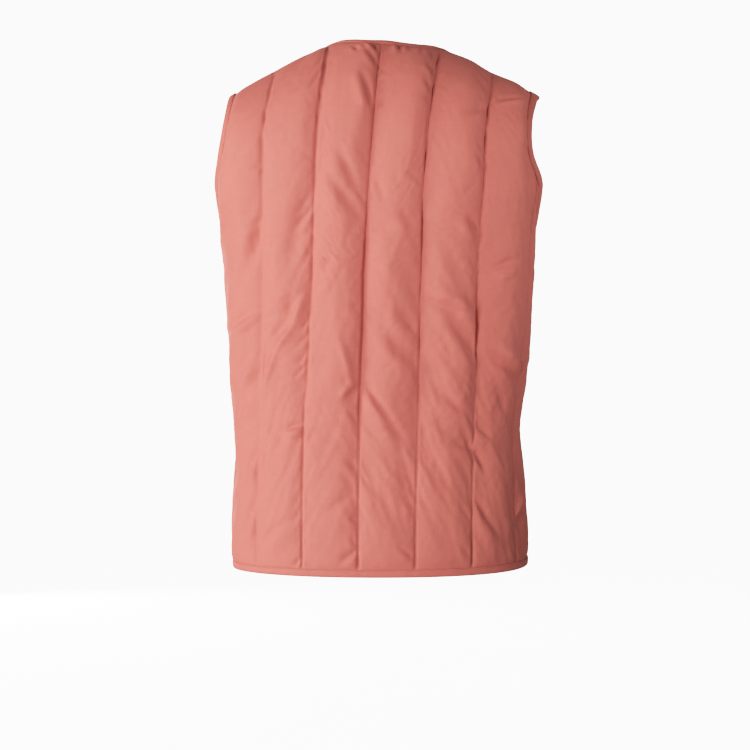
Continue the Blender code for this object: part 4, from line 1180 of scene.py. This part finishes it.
def panel_object(name, face, outer, reach, rise, backing):
    """Mesh of the fine outside, the backing and the narrow edge between them."""
    columns, rows = outer.shape[:2]
    back_columns, back_rows = backing.shape[:2]
    faces = grid_faces(columns, rows, flip=face == BACK)
    start = columns * rows
    faces += grid_faces(back_columns, back_rows, start, flip=face == FRONT)
    out_rim, in_rim = rim(columns, rows), rim(back_columns, back_rows) + start
    for k in range(len(in_rim)):
        after = (k + 1) % len(in_rim)
        outside = [out_rim[2 * k], out_rim[2 * k + 1], out_rim[(2 * k + 2) % len(out_rim)]]
        wall = outside + [in_rim[after], in_rim[k]]
        faces.append([int(p) for p in (wall if face == BACK else wall[::-1])])
    points = np.concatenate([outer.reshape(-1, 3), backing.reshape(-1, 3)])
    obj = mesh_object(name, points, faces)
    flat = np.stack([reach, rise], axis=-1)
    lay_flat(obj, np.concatenate([flat.reshape(-1, 2), flat[::2, ::2].reshape(-1, 2)]))
    return obj


def stations_between(at_edge, at_margin):
    """Stations of a binding: the outside, inside and facing of the wall at its edge, the same at the margin,
    and the way that the edge faces."""
    away = at_edge[0] + at_edge[1] - at_margin[0] - at_margin[1]
    return np.stack(at_edge + at_margin + [unit(away)], axis=-2)


def flat_wall(panel):
    """Outside, inside and facing of a panel's wall where it is pressed flat."""
    return panel.inner + panel.normal * bpy.context.scene.gilet_cloth.wall, panel.inner, panel.normal


def edge_stations(panel, edge, margin):
    """Stations along a panel's edge."""
    wall = flat_wall(panel)
    return stations_between([grid[edge] for grid in wall], [grid[margin] for grid in wall])


def seam_station(panel, corner, beside):
    """Station on a seam's end, with its margin a binding's width down the seam towards the point beside."""
    wall = flat_wall(panel)
    share = bpy.context.scene.gilet_sewing.width / np.linalg.norm(wall[0][beside] - wall[0][corner])
    at_margin = [grid[corner] + (grid[beside] - grid[corner]) * share for grid in wall]
    return stations_between([grid[corner] for grid in wall], at_margin)[None]


def clear_of_seam(run, seam):
    """Run whose first station, at a panel's corner, is moved on a little to leave room for the seam's own."""
    run = run.copy()
    run[0, :EDGE_VALUES] += (run[1, :EDGE_VALUES] - run[0, :EDGE_VALUES]) * CORNER_STEP
    run[0, -1] = unit(run[1, -1] + seam[0, -1])
    return run


def meet(first, second):
    """Two runs of stations joined at a seam, with one station between them."""
    between = (first[-1:] + second[:1]) / 2.0
    return np.concatenate([first[:-1], between, second[1:]])


def hem_stations(back, left, right):
    """Strip from the right front's opening, round the back, to the left front's opening."""
    right_run = edge_stations(right, (slice(-2, None, -1), 0), (slice(-2, None, -1), 1))
    back_run = edge_stations(back, (slice(None), 0), (slice(None), 1))
    left_run = edge_stations(left, (slice(None, 0, -1), 0), (slice(None, 0, -1), 1))
    return meet(meet(right_run, back_run), left_run)


def neck_stations(back, left, right):
    """Strip up the right front's edge, round the back neck and down the left front's edge."""
    first, last = back.neck_columns
    neck = slice(first, last + 1)
    up_right = edge_stations(right, (-1,), (-2,))
    across = edge_stations(back, (neck, ROWS), (neck, ROWS - 1))
    down_left = edge_stations(left, (0,), (1,))[::-1]
    right_seam = seam_station(back, (first, ROWS), (first - 1, ROWS))
    left_seam = seam_station(back, (last, ROWS), (last + 1, ROWS))
    across = clear_of_seam(across, right_seam)
    across = clear_of_seam(across[::-1], left_seam)[::-1]
    run = meet(up_right, np.concatenate([right_seam, across, left_seam]))
    return meet(run, down_left)


def armhole_stations(back, front, side):
    """Loop from the underarm up the back, over the shoulder and down the front."""
    edge, margin = (-1, -2) if side == LEFT else (0, 1)
    rows = slice(UNDERARM_ROW, None)
    seams, runs = [], []
    for panel in (back, front):
        seams.append(seam_station(panel, (edge, UNDERARM_ROW), (edge, UNDERARM_ROW - 1)))
        runs.append(clear_of_seam(edge_stations(panel, (edge, rows), (margin, rows)), seams[-1]))
    underarm = (seams[0] + seams[1]) / 2.0
    return np.concatenate([underarm, meet(runs[0], runs[1][::-1])])


def wobble(length, waves):
    """Uneven swing between about -1 and 1 along a length, from a few waves that don't keep step."""
    return sum(np.sin(2.0 * math.pi * length / wave + wave * WAVE_SHIFT) for wave in waves) / len(waves)


def binding_sections(stations):
    """Closed section of the folded strip at each station: over the edge, round it and back inside."""
    sewing = bpy.context.scene.gilet_sewing
    outer, inner, normal, deep_outer, deep_inner, deep_normal, away = np.moveaxis(stations, -2, 0)
    swing = wobble(run_length(outer), BINDING_WAVES)[:, None]
    lip_outer = outer + (deep_outer - outer) * (LIP + LIP_SWING * swing)
    lip_inner = inner + (deep_inner - inner) * LIP
    middle, half_wall = (outer + inner) / 2.0, (outer - inner) / 2.0
    near, far = BINDING_GAP, BINDING_GAP + sewing.cloth
    crown = sewing.crown * (1.0 + CROWN_SWING * swing)
    points = []
    for share in np.linspace(0.0, 1.0, FLAT_STEPS):
        lift = far + crown * math.sin(math.pi * (CROWN_START + CROWN_RUN * share))
        facing = unit(deep_normal + (normal - deep_normal) * share)
        points.append(lip_outer + (outer - lip_outer) * share + facing * lift)
    for turn in np.linspace(0.0, math.pi, TURN_STEPS + 2)[1:-1]:
        thick = (half_wall + normal * (far + TURN_CROWN * crown)) * math.cos(turn)
        points.append(middle + thick + away * sewing.turn * math.sin(turn))
    for share in np.linspace(1.0, 0.0, FLAT_STEPS):
        facing = unit(deep_normal + (normal - deep_normal) * share)
        points.append(lip_inner + (inner - lip_inner) * share - facing * far)
    points += [lip_inner - deep_normal * near, inner - normal * near + away * near]
    points += [outer + normal * near + away * near, lip_outer + deep_normal * near]
    return np.stack(points, axis=1)


def make_binding(name, stations, closed):
    """Folded strip through its stations, and the length of its run."""
    sections = binding_sections(stations)
    count, girth_steps = sections.shape[:2]
    obj = mesh_object(name, sections.reshape(-1, 3), tube_faces(count, girth_steps, closed))
    shape = bmesh.new()
    shape.from_mesh(obj.data)
    bmesh.ops.recalc_face_normals(shape, faces=shape.faces)
    shape.to_mesh(obj.data)
    shape.free()
    run = run_length(stations[:, 0])
    girth = np.linspace(0.0, bpy.context.scene.gilet_sewing.cut, girth_steps)
    lay_flat(obj, np.stack(np.broadcast_arrays(run[:, None], girth[None, :]), axis=-1).reshape(-1, 2))
    return obj, run[-1]


def stitch_points(path, facing):
    """Points and faces of a row of stitches that lie on a path and face away from the cloth."""
    sewing = bpy.context.scene.gilet_sewing
    run = run_length(path)
    starts = np.arange(0.0, run[-1] - sewing.stitch, sewing.stitch + sewing.gap)

    def read_along(values, at):
        return np.stack([np.interp(at, run, values[:, axis]) for axis in range(3)], axis=-1)

    rings = []
    for ring in STITCH_RINGS:
        at = starts + ring.along * sewing.stitch
        middle = read_along(path, at)
        up = unit(read_along(facing, at))
        across = unit(np.cross(unit(read_along(path, at + sewing.gap) - middle), up))
        radius = sewing.thread / 2.0 * ring.thick
        sink = (1.0 - ring.thick) * sewing.thread * STITCH_SINK
        for turn in np.arange(STITCH_SIDES) / STITCH_SIDES * 2.0 * math.pi:
            rings.append(middle + across * radius * math.cos(turn) + up * (radius * math.sin(turn) - sink))
    points = np.stack(rings, axis=1)
    outwards = [face[:1] + face[:0:-1] for face in tube_faces(len(STITCH_RINGS), STITCH_SIDES)]
    faces = [[p + k * points.shape[1] for p in face] for k in range(len(starts)) for face in outwards]
    return points.reshape(-1, 3), faces


def make_stitches(name, rows):
    """One mesh of several rows of stitches, each given by its path and facing."""
    points, faces, start = [], [], 0
    for path, facing in rows:
        row_points, row_faces = stitch_points(path, facing)
        points.append(row_points)
        faces += [[p + start for p in face] for face in row_faces]
        start += len(row_points)
    return mesh_object(name, np.concatenate(points), faces)


def quilting_rows(panel):
    """Paths of the quilting stitches, on the shell and on the backing, where each line lies in the panel."""
    cloth, sewing = bpy.context.scene.gilet_cloth, bpy.context.scene.gilet_sewing
    proud = sewing.thread * QUILTING_PROUD
    rows = []
    for line in panel.lines[1:-1] if panel.face == BACK else panel.lines:
        near = np.abs(panel.reach - line)
        at = (near.argmin(axis=0), np.arange(panel.reach.shape[1]))
        keep = near[at] < LINE_NEAR
        keep &= panel.bound[at] > sewing.width
        keep &= panel.seam[at] > sewing.width * SEAM_CLEAR
        if keep.sum() < LEAST_RUN:
            continue
        inner, normal = panel.inner[at][keep], panel.normal[at][keep]
        rows.append((inner + normal * (cloth.wall - cloth.groove + proud), normal))
        rows.append((inner - normal * proud, -normal))
    return rows


def binding_rows(stations, closed):
    """Path of the edge stitching along a binding's outer lip."""
    sewing = bpy.context.scene.gilet_sewing
    outer, _, normal, deep_outer, _, deep_normal, _ = np.moveaxis(stations, -2, 0)
    width = np.linalg.norm(deep_outer - outer, axis=-1, keepdims=True)
    share = LIP - sewing.inset / width
    facing = unit(normal + (deep_normal - normal) * share)
    lift = BINDING_GAP + sewing.cloth + sewing.crown * EDGE_CROWN + sewing.thread * EDGE_PROUD
    path = outer + (deep_outer - outer) * share + facing * lift
    if closed:
        path, facing = np.concatenate([path, path[:1]]), np.concatenate([facing, facing[:1]])
    return [(path, facing)]


def add_node(tree, kind, inputs=(), **settings):
    """Adds a node, with its settings, and its inputs as values or as links from other nodes' outputs."""
    made = tree.nodes.new(kind)
    for name, value in settings.items():
        setattr(made, name, value)
    for name, value in dict(inputs).items():
        if isinstance(value, bpy.types.NodeSocket):
            tree.links.new(value, made.inputs[name])
        else:
            made.inputs[name].default_value = value
    return made


def new_material(name):
    """Material with its node tree and its surface shader."""
    made = bpy.data.materials.new(name)
    made.use_nodes = True
    tree = made.node_tree
    return made, tree, tree.nodes["Principled BSDF"]


def woven_cloth(name, colour, deep, thread):
    """Calendered polyester taffeta: a tight plain weave pressed smooth. The eye gets a soft, even colour with
    faint streaks along warp and weft, small crinkles, and a low sheen on the flanks of the channels. The
    threads, 0.3 mm apart, are drawn coarser, so that they show."""
    made, tree, shader = new_material(name)
    place = add_node(tree, "ShaderNodeUVMap", uv_map="cut").outputs["UV"]
    across, along_thread = 1.0 / thread, STREAK_STRETCH / thread
    streaks = []
    for way in ((across, along_thread, 1.0), (along_thread, across, 1.0)):
        drawn = add_node(tree, "ShaderNodeMapping", {"Vector": place, "Scale": way}).outputs["Vector"]
        streaks.append(add_node(tree, "ShaderNodeTexNoise", {
            "Vector": drawn, "Scale": 1.0, "Detail": 2.0, "Roughness": 0.6}).outputs["Fac"])
    weave = add_node(tree, "ShaderNodeMath", {0: streaks[0], 1: streaks[1]}, operation="ADD").outputs[0]
    mottle = add_node(tree, "ShaderNodeTexNoise", {
        "Vector": place, "Scale": 1.0 / MOTTLE, "Detail": 3.0, "Roughness": 0.55}).outputs["Fac"]
    tone = add_node(tree, "ShaderNodeMath", {0: weave, 1: mottle}, operation="ADD").outputs[0]
    share = add_node(tree, "ShaderNodeMapRange", {
        "Value": tone, "From Min": 1.1, "From Max": 1.9, "To Min": 0.0, "To Max": 1.0}).outputs["Result"]
    mixed = add_node(tree, "ShaderNodeMix", {
        "Factor": share, "A": (*deep, 1.0), "B": (*colour, 1.0)}, data_type="RGBA")
    tree.links.new(mixed.outputs["Result"], shader.inputs["Base Color"])
    dullness = add_node(tree, "ShaderNodeMapRange", {
        "Value": mottle, "From Min": 0.3, "From Max": 0.7, "To Min": 0.72, "To Max": 0.82}).outputs["Result"]
    tree.links.new(dullness, shader.inputs["Roughness"])
    crinkle = add_node(tree, "ShaderNodeTexNoise", {
        "Vector": place, "Scale": 1.0 / CRINKLE, "Detail": 3.0, "Roughness": 0.5, "Distortion": 0.6})
    crinkled = add_node(tree, "ShaderNodeBump", {
        "Height": crinkle.outputs["Fac"], "Strength": 1.0, "Distance": 0.0002}).outputs["Normal"]
    woven = add_node(tree, "ShaderNodeBump", {
        "Height": weave, "Strength": 1.0, "Distance": 0.00005, "Normal": crinkled}).outputs["Normal"]
    tree.links.new(woven, shader.inputs["Normal"])
    shader.inputs["IOR"].default_value = 1.5
    shader.inputs["Specular IOR Level"].default_value = 0.4
    shader.inputs["Sheen Weight"].default_value = 0.15
    shader.inputs["Sheen Roughness"].default_value = 0.45
    shader.inputs["Sheen Tint"].default_value = (*colour, 1.0)
    return made


def spun_thread(colour):
    """Spun polyester sewing thread, twisted: matt, with the hollows of the short turns along each stitch
    darkened as painted shade. The turns, 0.3 mm long, are drawn coarser, so that they show."""
    made, tree, shader = new_material("spun polyester thread")
    place = add_node(tree, "ShaderNodeTexCoord").outputs["Object"]
    twist = add_node(tree, "ShaderNodeTexNoise", {
        "Vector": place, "Scale": 1.0 / TWIST, "Detail": 1.0}).outputs["Fac"]
    # Painted shade: where the twist's bump sinks, the thread takes a darker copy of its tone
    twist_shade = tuple(TWIST_SHADE * part for part in colour)
    mixed = add_node(tree, "ShaderNodeMix", {
        "Factor": twist, "A": (*twist_shade, 1.0), "B": (*colour, 1.0)}, data_type="RGBA")
    tree.links.new(mixed.outputs["Result"], shader.inputs["Base Color"])
    bump = add_node(tree, "ShaderNodeBump", {"Height": twist, "Strength": 0.6, "Distance": 0.0001})
    tree.links.new(bump.outputs["Normal"], shader.inputs["Normal"])
    shader.inputs["Roughness"].default_value = 0.8
    return made


def nickel_plate(colour):
    """Nickel-plated brass, pressed and tumbled: a soft grey shine with fine rubbed marks, drawn coarser than
    their tenth of a millimetre, so that they show."""
    made, tree, shader = new_material("nickel-plated brass")
    place = add_node(tree, "ShaderNodeTexCoord").outputs["Object"]
    rubbed = add_node(tree, "ShaderNodeTexNoise", {
        "Vector": place, "Scale": 1.0 / RUB, "Detail": 4.0, "Roughness": 0.7}).outputs["Fac"]
    dullness = add_node(tree, "ShaderNodeMapRange", {
        "Value": rubbed, "From Min": 0.3, "From Max": 0.7, "To Min": 0.22, "To Max": 0.38}).outputs["Result"]
    tree.links.new(dullness, shader.inputs["Roughness"])
    bump = add_node(tree, "ShaderNodeBump", {"Height": rubbed, "Strength": 0.3, "Distance": 0.00005})
    tree.links.new(bump.outputs["Normal"], shader.inputs["Normal"])
    shader.inputs["Base Color"].default_value = (*colour, 1.0)
    shader.inputs["Metallic"].default_value = 1.0
    return made


def studio_floor(colour):
    """Matt white studio vinyl: a pale, even ground with hardly any grain. The camera sees it as bright as the
    backdrop, so that the two run into each other."""
    made, tree, shader = new_material("matt studio vinyl")
    place = add_node(tree, "ShaderNodeTexCoord").outputs["Object"]
    grain = add_node(tree, "ShaderNodeTexNoise", {
        "Vector": place, "Scale": 1.0 / FLOOR_GRAIN, "Detail": 2.0}).outputs["Fac"]
    dim = tuple(GRAIN_DIM * part for part in colour)
    mixed = add_node(tree, "ShaderNodeMix", {
        "Factor": grain, "A": (*dim, 1.0), "B": (*colour, 1.0)}, data_type="RGBA")
    tree.links.new(mixed.outputs["Result"], shader.inputs["Base Color"])
    shader.inputs["Roughness"].default_value = 0.9
    shader.inputs["Emission Color"].default_value = (1.0, 1.0, 1.0, 1.0)
    seen = add_node(tree, "ShaderNodeLightPath").outputs["Is Camera Ray"]
    glow = add_node(tree, "ShaderNodeMapRange", {"Value": seen, "To Min": 0.0, "To Max": FILM_WHITE})
    tree.links.new(glow.outputs["Result"], shader.inputs["Emission Strength"])
    return made


def shell_material():
    """Finish that the three panels share."""
    cloth = bpy.context.scene.gilet_cloth
    name = "calendered polyester taffeta"
    return bpy.data.materials.get(name) or woven_cloth(name, cloth.colour, cloth.deep, cloth.thread)


def binding_material():
    """Finish that the four strips share."""
    cloth, sewing = bpy.context.scene.gilet_cloth, bpy.context.scene.gilet_sewing
    name = "folded taffeta strip"
    return bpy.data.materials.get(name) or woven_cloth(name, sewing.colour, cloth.deep, cloth.thread)


def thread_material():
    """Finish that all stitches share."""
    name = "spun polyester thread"
    return bpy.data.materials.get(name) or spun_thread(bpy.context.scene.gilet_sewing.thread_colour)


def fit(obj, finish, slot, *nodes):
    """Gives a piece its finish, sets it on the body and hides the solids that it stands for."""
    obj.data.materials.append(finish)
    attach(obj, "root")
    if nodes:
        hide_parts(*nodes)


class GILET_OT_back(bpy.types.Operator):
    """Make the padded back, with its channels and creases"""

    bl_idname = "gilet.back"
    bl_label = "Back"

    def execute(self, context):
        draws = DRAWS["back"]
        puckers = seam_puckers(lambda rise: [back_line(number, rise) for number in BACK_LINES], draws.puckers)
        obj = make_panel("back_quilting", back_panel(), [*BACK_CREASES, *puckers], draws.noise)
        fit(obj, shell_material(), "quilted_cloth", "back")
        return {"FINISHED"}


class GILET_OT_fronts(bpy.types.Operator):
    """Make the two padded fronts, the left lapping over the right"""

    bl_idname = "gilet.fronts"
    bl_label = "Fronts"

    def execute(self, context):
        for side, name in ((LEFT, "front_left"), (RIGHT, "front_right")):
            lift = 0.0 if side == LEFT else RIGHT_FRONT_LIFT
            creases = [
                crease._replace(reach=side * crease.reach, rise=crease.rise + lift, run=side * crease.run)
                for crease in FRONT_CREASES
            ]
            lines = [front_line(number, side) for number in FRONT_LINES]
            creases += seam_puckers(lambda rise: lines, DRAWS[name].puckers)
            obj = make_panel(name + "_quilting", front_panel(side), creases, DRAWS[name].noise)
            fit(obj, shell_material(), "quilted_cloth", name)
        return {"FINISHED"}


class GILET_OT_bindings(bpy.types.Operator):
    """Make the folded strips on hem, neck, fronts and armholes, with their edge stitching"""

    bl_idname = "gilet.bindings"
    bl_label = "Bindings"

    def execute(self, context):
        back, left, right = back_panel(), front_panel(LEFT), front_panel(RIGHT)
        strips = (
            ("hem_binding", hem_stations(back, left, right), False),
            ("neck_binding", neck_stations(back, left, right), False),
            ("armhole_binding_left", armhole_stations(back, left, LEFT), True),
            ("armhole_binding_right", armhole_stations(back, right, RIGHT), True),
        )
        rows = []
        for node, stations, closed in strips:
            obj, length = make_binding(node + "_strip", stations, closed)
            fit(obj, binding_material(), "binding_cloth", node)
            rows += binding_rows(stations, closed)
        fit(make_stitches("edge_stitching", rows), thread_material(), "binding_cloth")
        return {"FINISHED"}


class GILET_OT_quilting(bpy.types.Operator):
    """Make the rows of stitches that quilt the panels"""

    bl_idname = "gilet.quilting"
    bl_label = "Quilting stitches"

    def execute(self, context):
        panels = {"back": back_panel(), "front_left": front_panel(LEFT), "front_right": front_panel(RIGHT)}
        for name, panel in panels.items():
            stitches = make_stitches(name + "_stitching", quilting_rows(panel))
            fit(stitches, thread_material(), "quilted_cloth")
        return {"FINISHED"}


def cap_points(snaps):
    """Points of a snap cap that faces up, ring by ring."""
    turn = np.arange(CAP_STEPS) / CAP_STEPS * 2.0 * math.pi
    rings = []
    for ring in CAP_RINGS:
        out, up = ring.out * snaps.radius, ring.up * snaps.height
        rings.append(np.stack([out * np.cos(turn), out * np.sin(turn), np.full_like(turn, up)], axis=-1))
    return np.concatenate(rings)


class GILET_OT_snaps(bpy.types.Operator):
    """Make the pressed snap caps down the left front"""

    bl_idname = "gilet.snaps"
    bl_label = "Snaps"

    def execute(self, context):
        snaps, wall = context.scene.gilet_snaps, context.scene.gilet_cloth.wall
        finish = nickel_plate(snaps.colour)
        points, faces = cap_points(snaps), tube_faces(len(CAP_RINGS), CAP_STEPS)
        for number, rise in enumerate(np.linspace(snaps.top, snaps.foot, snaps.count), start=1):
            reach, rise = np.array([0.0]), np.array([rise])
            normal = outward(reach, rise, FRONT)[0]
            obj = mesh_object(f"snap_cap_{number}", points, faces)
            obj.location = surface(reach, rise, FRONT)[0] + normal * (wall + CAP_GAP)
            obj.rotation_euler = Vector(normal).to_track_quat("Z", "Y").to_euler()
            fit(obj, finish, "snap_metal", f"snap_{number}")
        return {"FINISHED"}


def make_floor(stage):
    """Pale floor below the hem."""
    level = CAD_BOX[0].z - stage.drop
    bpy.ops.mesh.primitive_circle_add(
        vertices=FLOOR_SIDES, radius=FLOOR_RADIUS, fill_type="NGON", location=(0.0, 0.0, level)
    )
    floor = bpy.context.object
    floor.name = "floor"
    floor.data.materials.append(studio_floor(stage.floor))


def set_backdrop(scene, stage):
    """Even white light from all round, which the camera sees as a white backdrop."""
    world = bpy.data.worlds.new("studio")
    world.use_nodes = True
    scene.world = world
    tree = world.node_tree
    background = tree.nodes["Background"]
    background.inputs["Color"].default_value = (1.0, 1.0, 1.0, 1.0)
    seen = add_node(tree, "ShaderNodeLightPath").outputs["Is Camera Ray"]
    strength = add_node(tree, "ShaderNodeMapRange", {
        "Value": seen, "To Min": stage.sky, "To Max": FILM_WHITE}).outputs["Result"]
    tree.links.new(strength, background.inputs["Strength"])


def set_lamps(scene, stage):
    """Lamps at their places, each turned to what it is aimed at."""
    for lamp in LAMPS:
        light = bpy.data.lights.new(lamp.name, lamp.kind)
        if lamp.kind == "SPOT":
            light.spot_size, light.spot_blend = SPOT_CONE, 1.0
            light.shadow_soft_size = lamp.size
            light.energy = lamp.share * stage.blade
        else:
            light.size = lamp.size
            light.energy = lamp.share * stage.key
        obj = bpy.data.objects.new(lamp.name, light)
        obj.location = lamp.place
        obj.rotation_euler = (Vector(lamp.aim) - obj.location).to_track_quat("-Z", "Y").to_euler()
        scene.collection.objects.link(obj)


def set_camera(scene, stage):
    """Camera behind the garment, level with the picture's centre."""
    camera = bpy.data.cameras.new("camera")
    camera.sensor_width = SENSOR
    camera.lens = SENSOR * stage.distance / stage.view
    eye = bpy.data.objects.new("camera", camera)
    eye.location = (CAMERA_PLACE[0], stage.distance, CAMERA_PLACE[1])
    eye.rotation_euler = (math.pi / 2.0, 0.0, math.pi)
    scene.collection.objects.link(eye)
    scene.camera = eye


def set_film(settings):
    """Gives the picture its tones."""
    settings.view_transform = "Standard"
    settings.use_curve_mapping = True
    mapping = settings.curve_mapping
    mapping.white_level = (FILM_WHITE,) * 3
    curve = mapping.curves[3]
    curve.points[0].location = FILM[0]
    curve.points[1].location = FILM[-1]
    for tone in FILM[1:-1]:
        curve.points.new(*tone)
    mapping.update()


class GILET_OT_stage(bpy.types.Operator):
    """Make the pale floor, the soft light and the camera"""

    bl_idname = "gilet.stage"
    bl_label = "Stage"

    def execute(self, context):
        scene, stage = context.scene, context.scene.gilet_stage
        make_floor(stage)
        set_backdrop(scene, stage)
        set_lamps(scene, stage)
        set_camera(scene, stage)
        set_film(scene.view_settings)
        return {"FINISHED"}


OPERATORS = (
    GILET_OT_back,
    GILET_OT_fronts,
    GILET_OT_bindings,
    GILET_OT_quilting,
    GILET_OT_snaps,
    GILET_OT_stage,
)
GROUPS = {
    "gilet_cloth": ClothSettings,
    "gilet_sewing": SewingSettings,
    "gilet_snaps": SnapSettings,
    "gilet_stage": StageSettings,
}


class GILET_PT_sidebar(bpy.types.Panel):
    """Sizes, colours and steps of the gilet"""

    bl_label = "Quilted gilet"
    bl_space_type = "VIEW_3D"
    bl_region_type = "UI"
    bl_category = "Gilet"

    def draw(self, context):
        for operator in OPERATORS:
            self.layout.operator(operator.bl_idname)
        for name in GROUPS:
            box = self.layout.box()
            group = getattr(context.scene, name)
            for key in group.bl_rna.properties.keys():
                if key not in {"rna_type", "name"}:
                    box.prop(group, key)


CLASSES = (*GROUPS.values(), *OPERATORS, GILET_PT_sidebar)


def register():
    for cls in CLASSES:
        bpy.utils.register_class(cls)
    for name, group in GROUPS.items():
        setattr(bpy.types.Scene, name, PointerProperty(type=group))


def unregister():
    for name in GROUPS:
        delattr(bpy.types.Scene, name)
    for cls in reversed(CLASSES):
        bpy.utils.unregister_class(cls)


def main():
    register()
    for operator in OPERATORS:
        group, step = operator.bl_idname.split(".")
        getattr(getattr(bpy.ops, group), step)()
    bpy.context.view_layer.update()


if __name__ == "__main__":
    main()
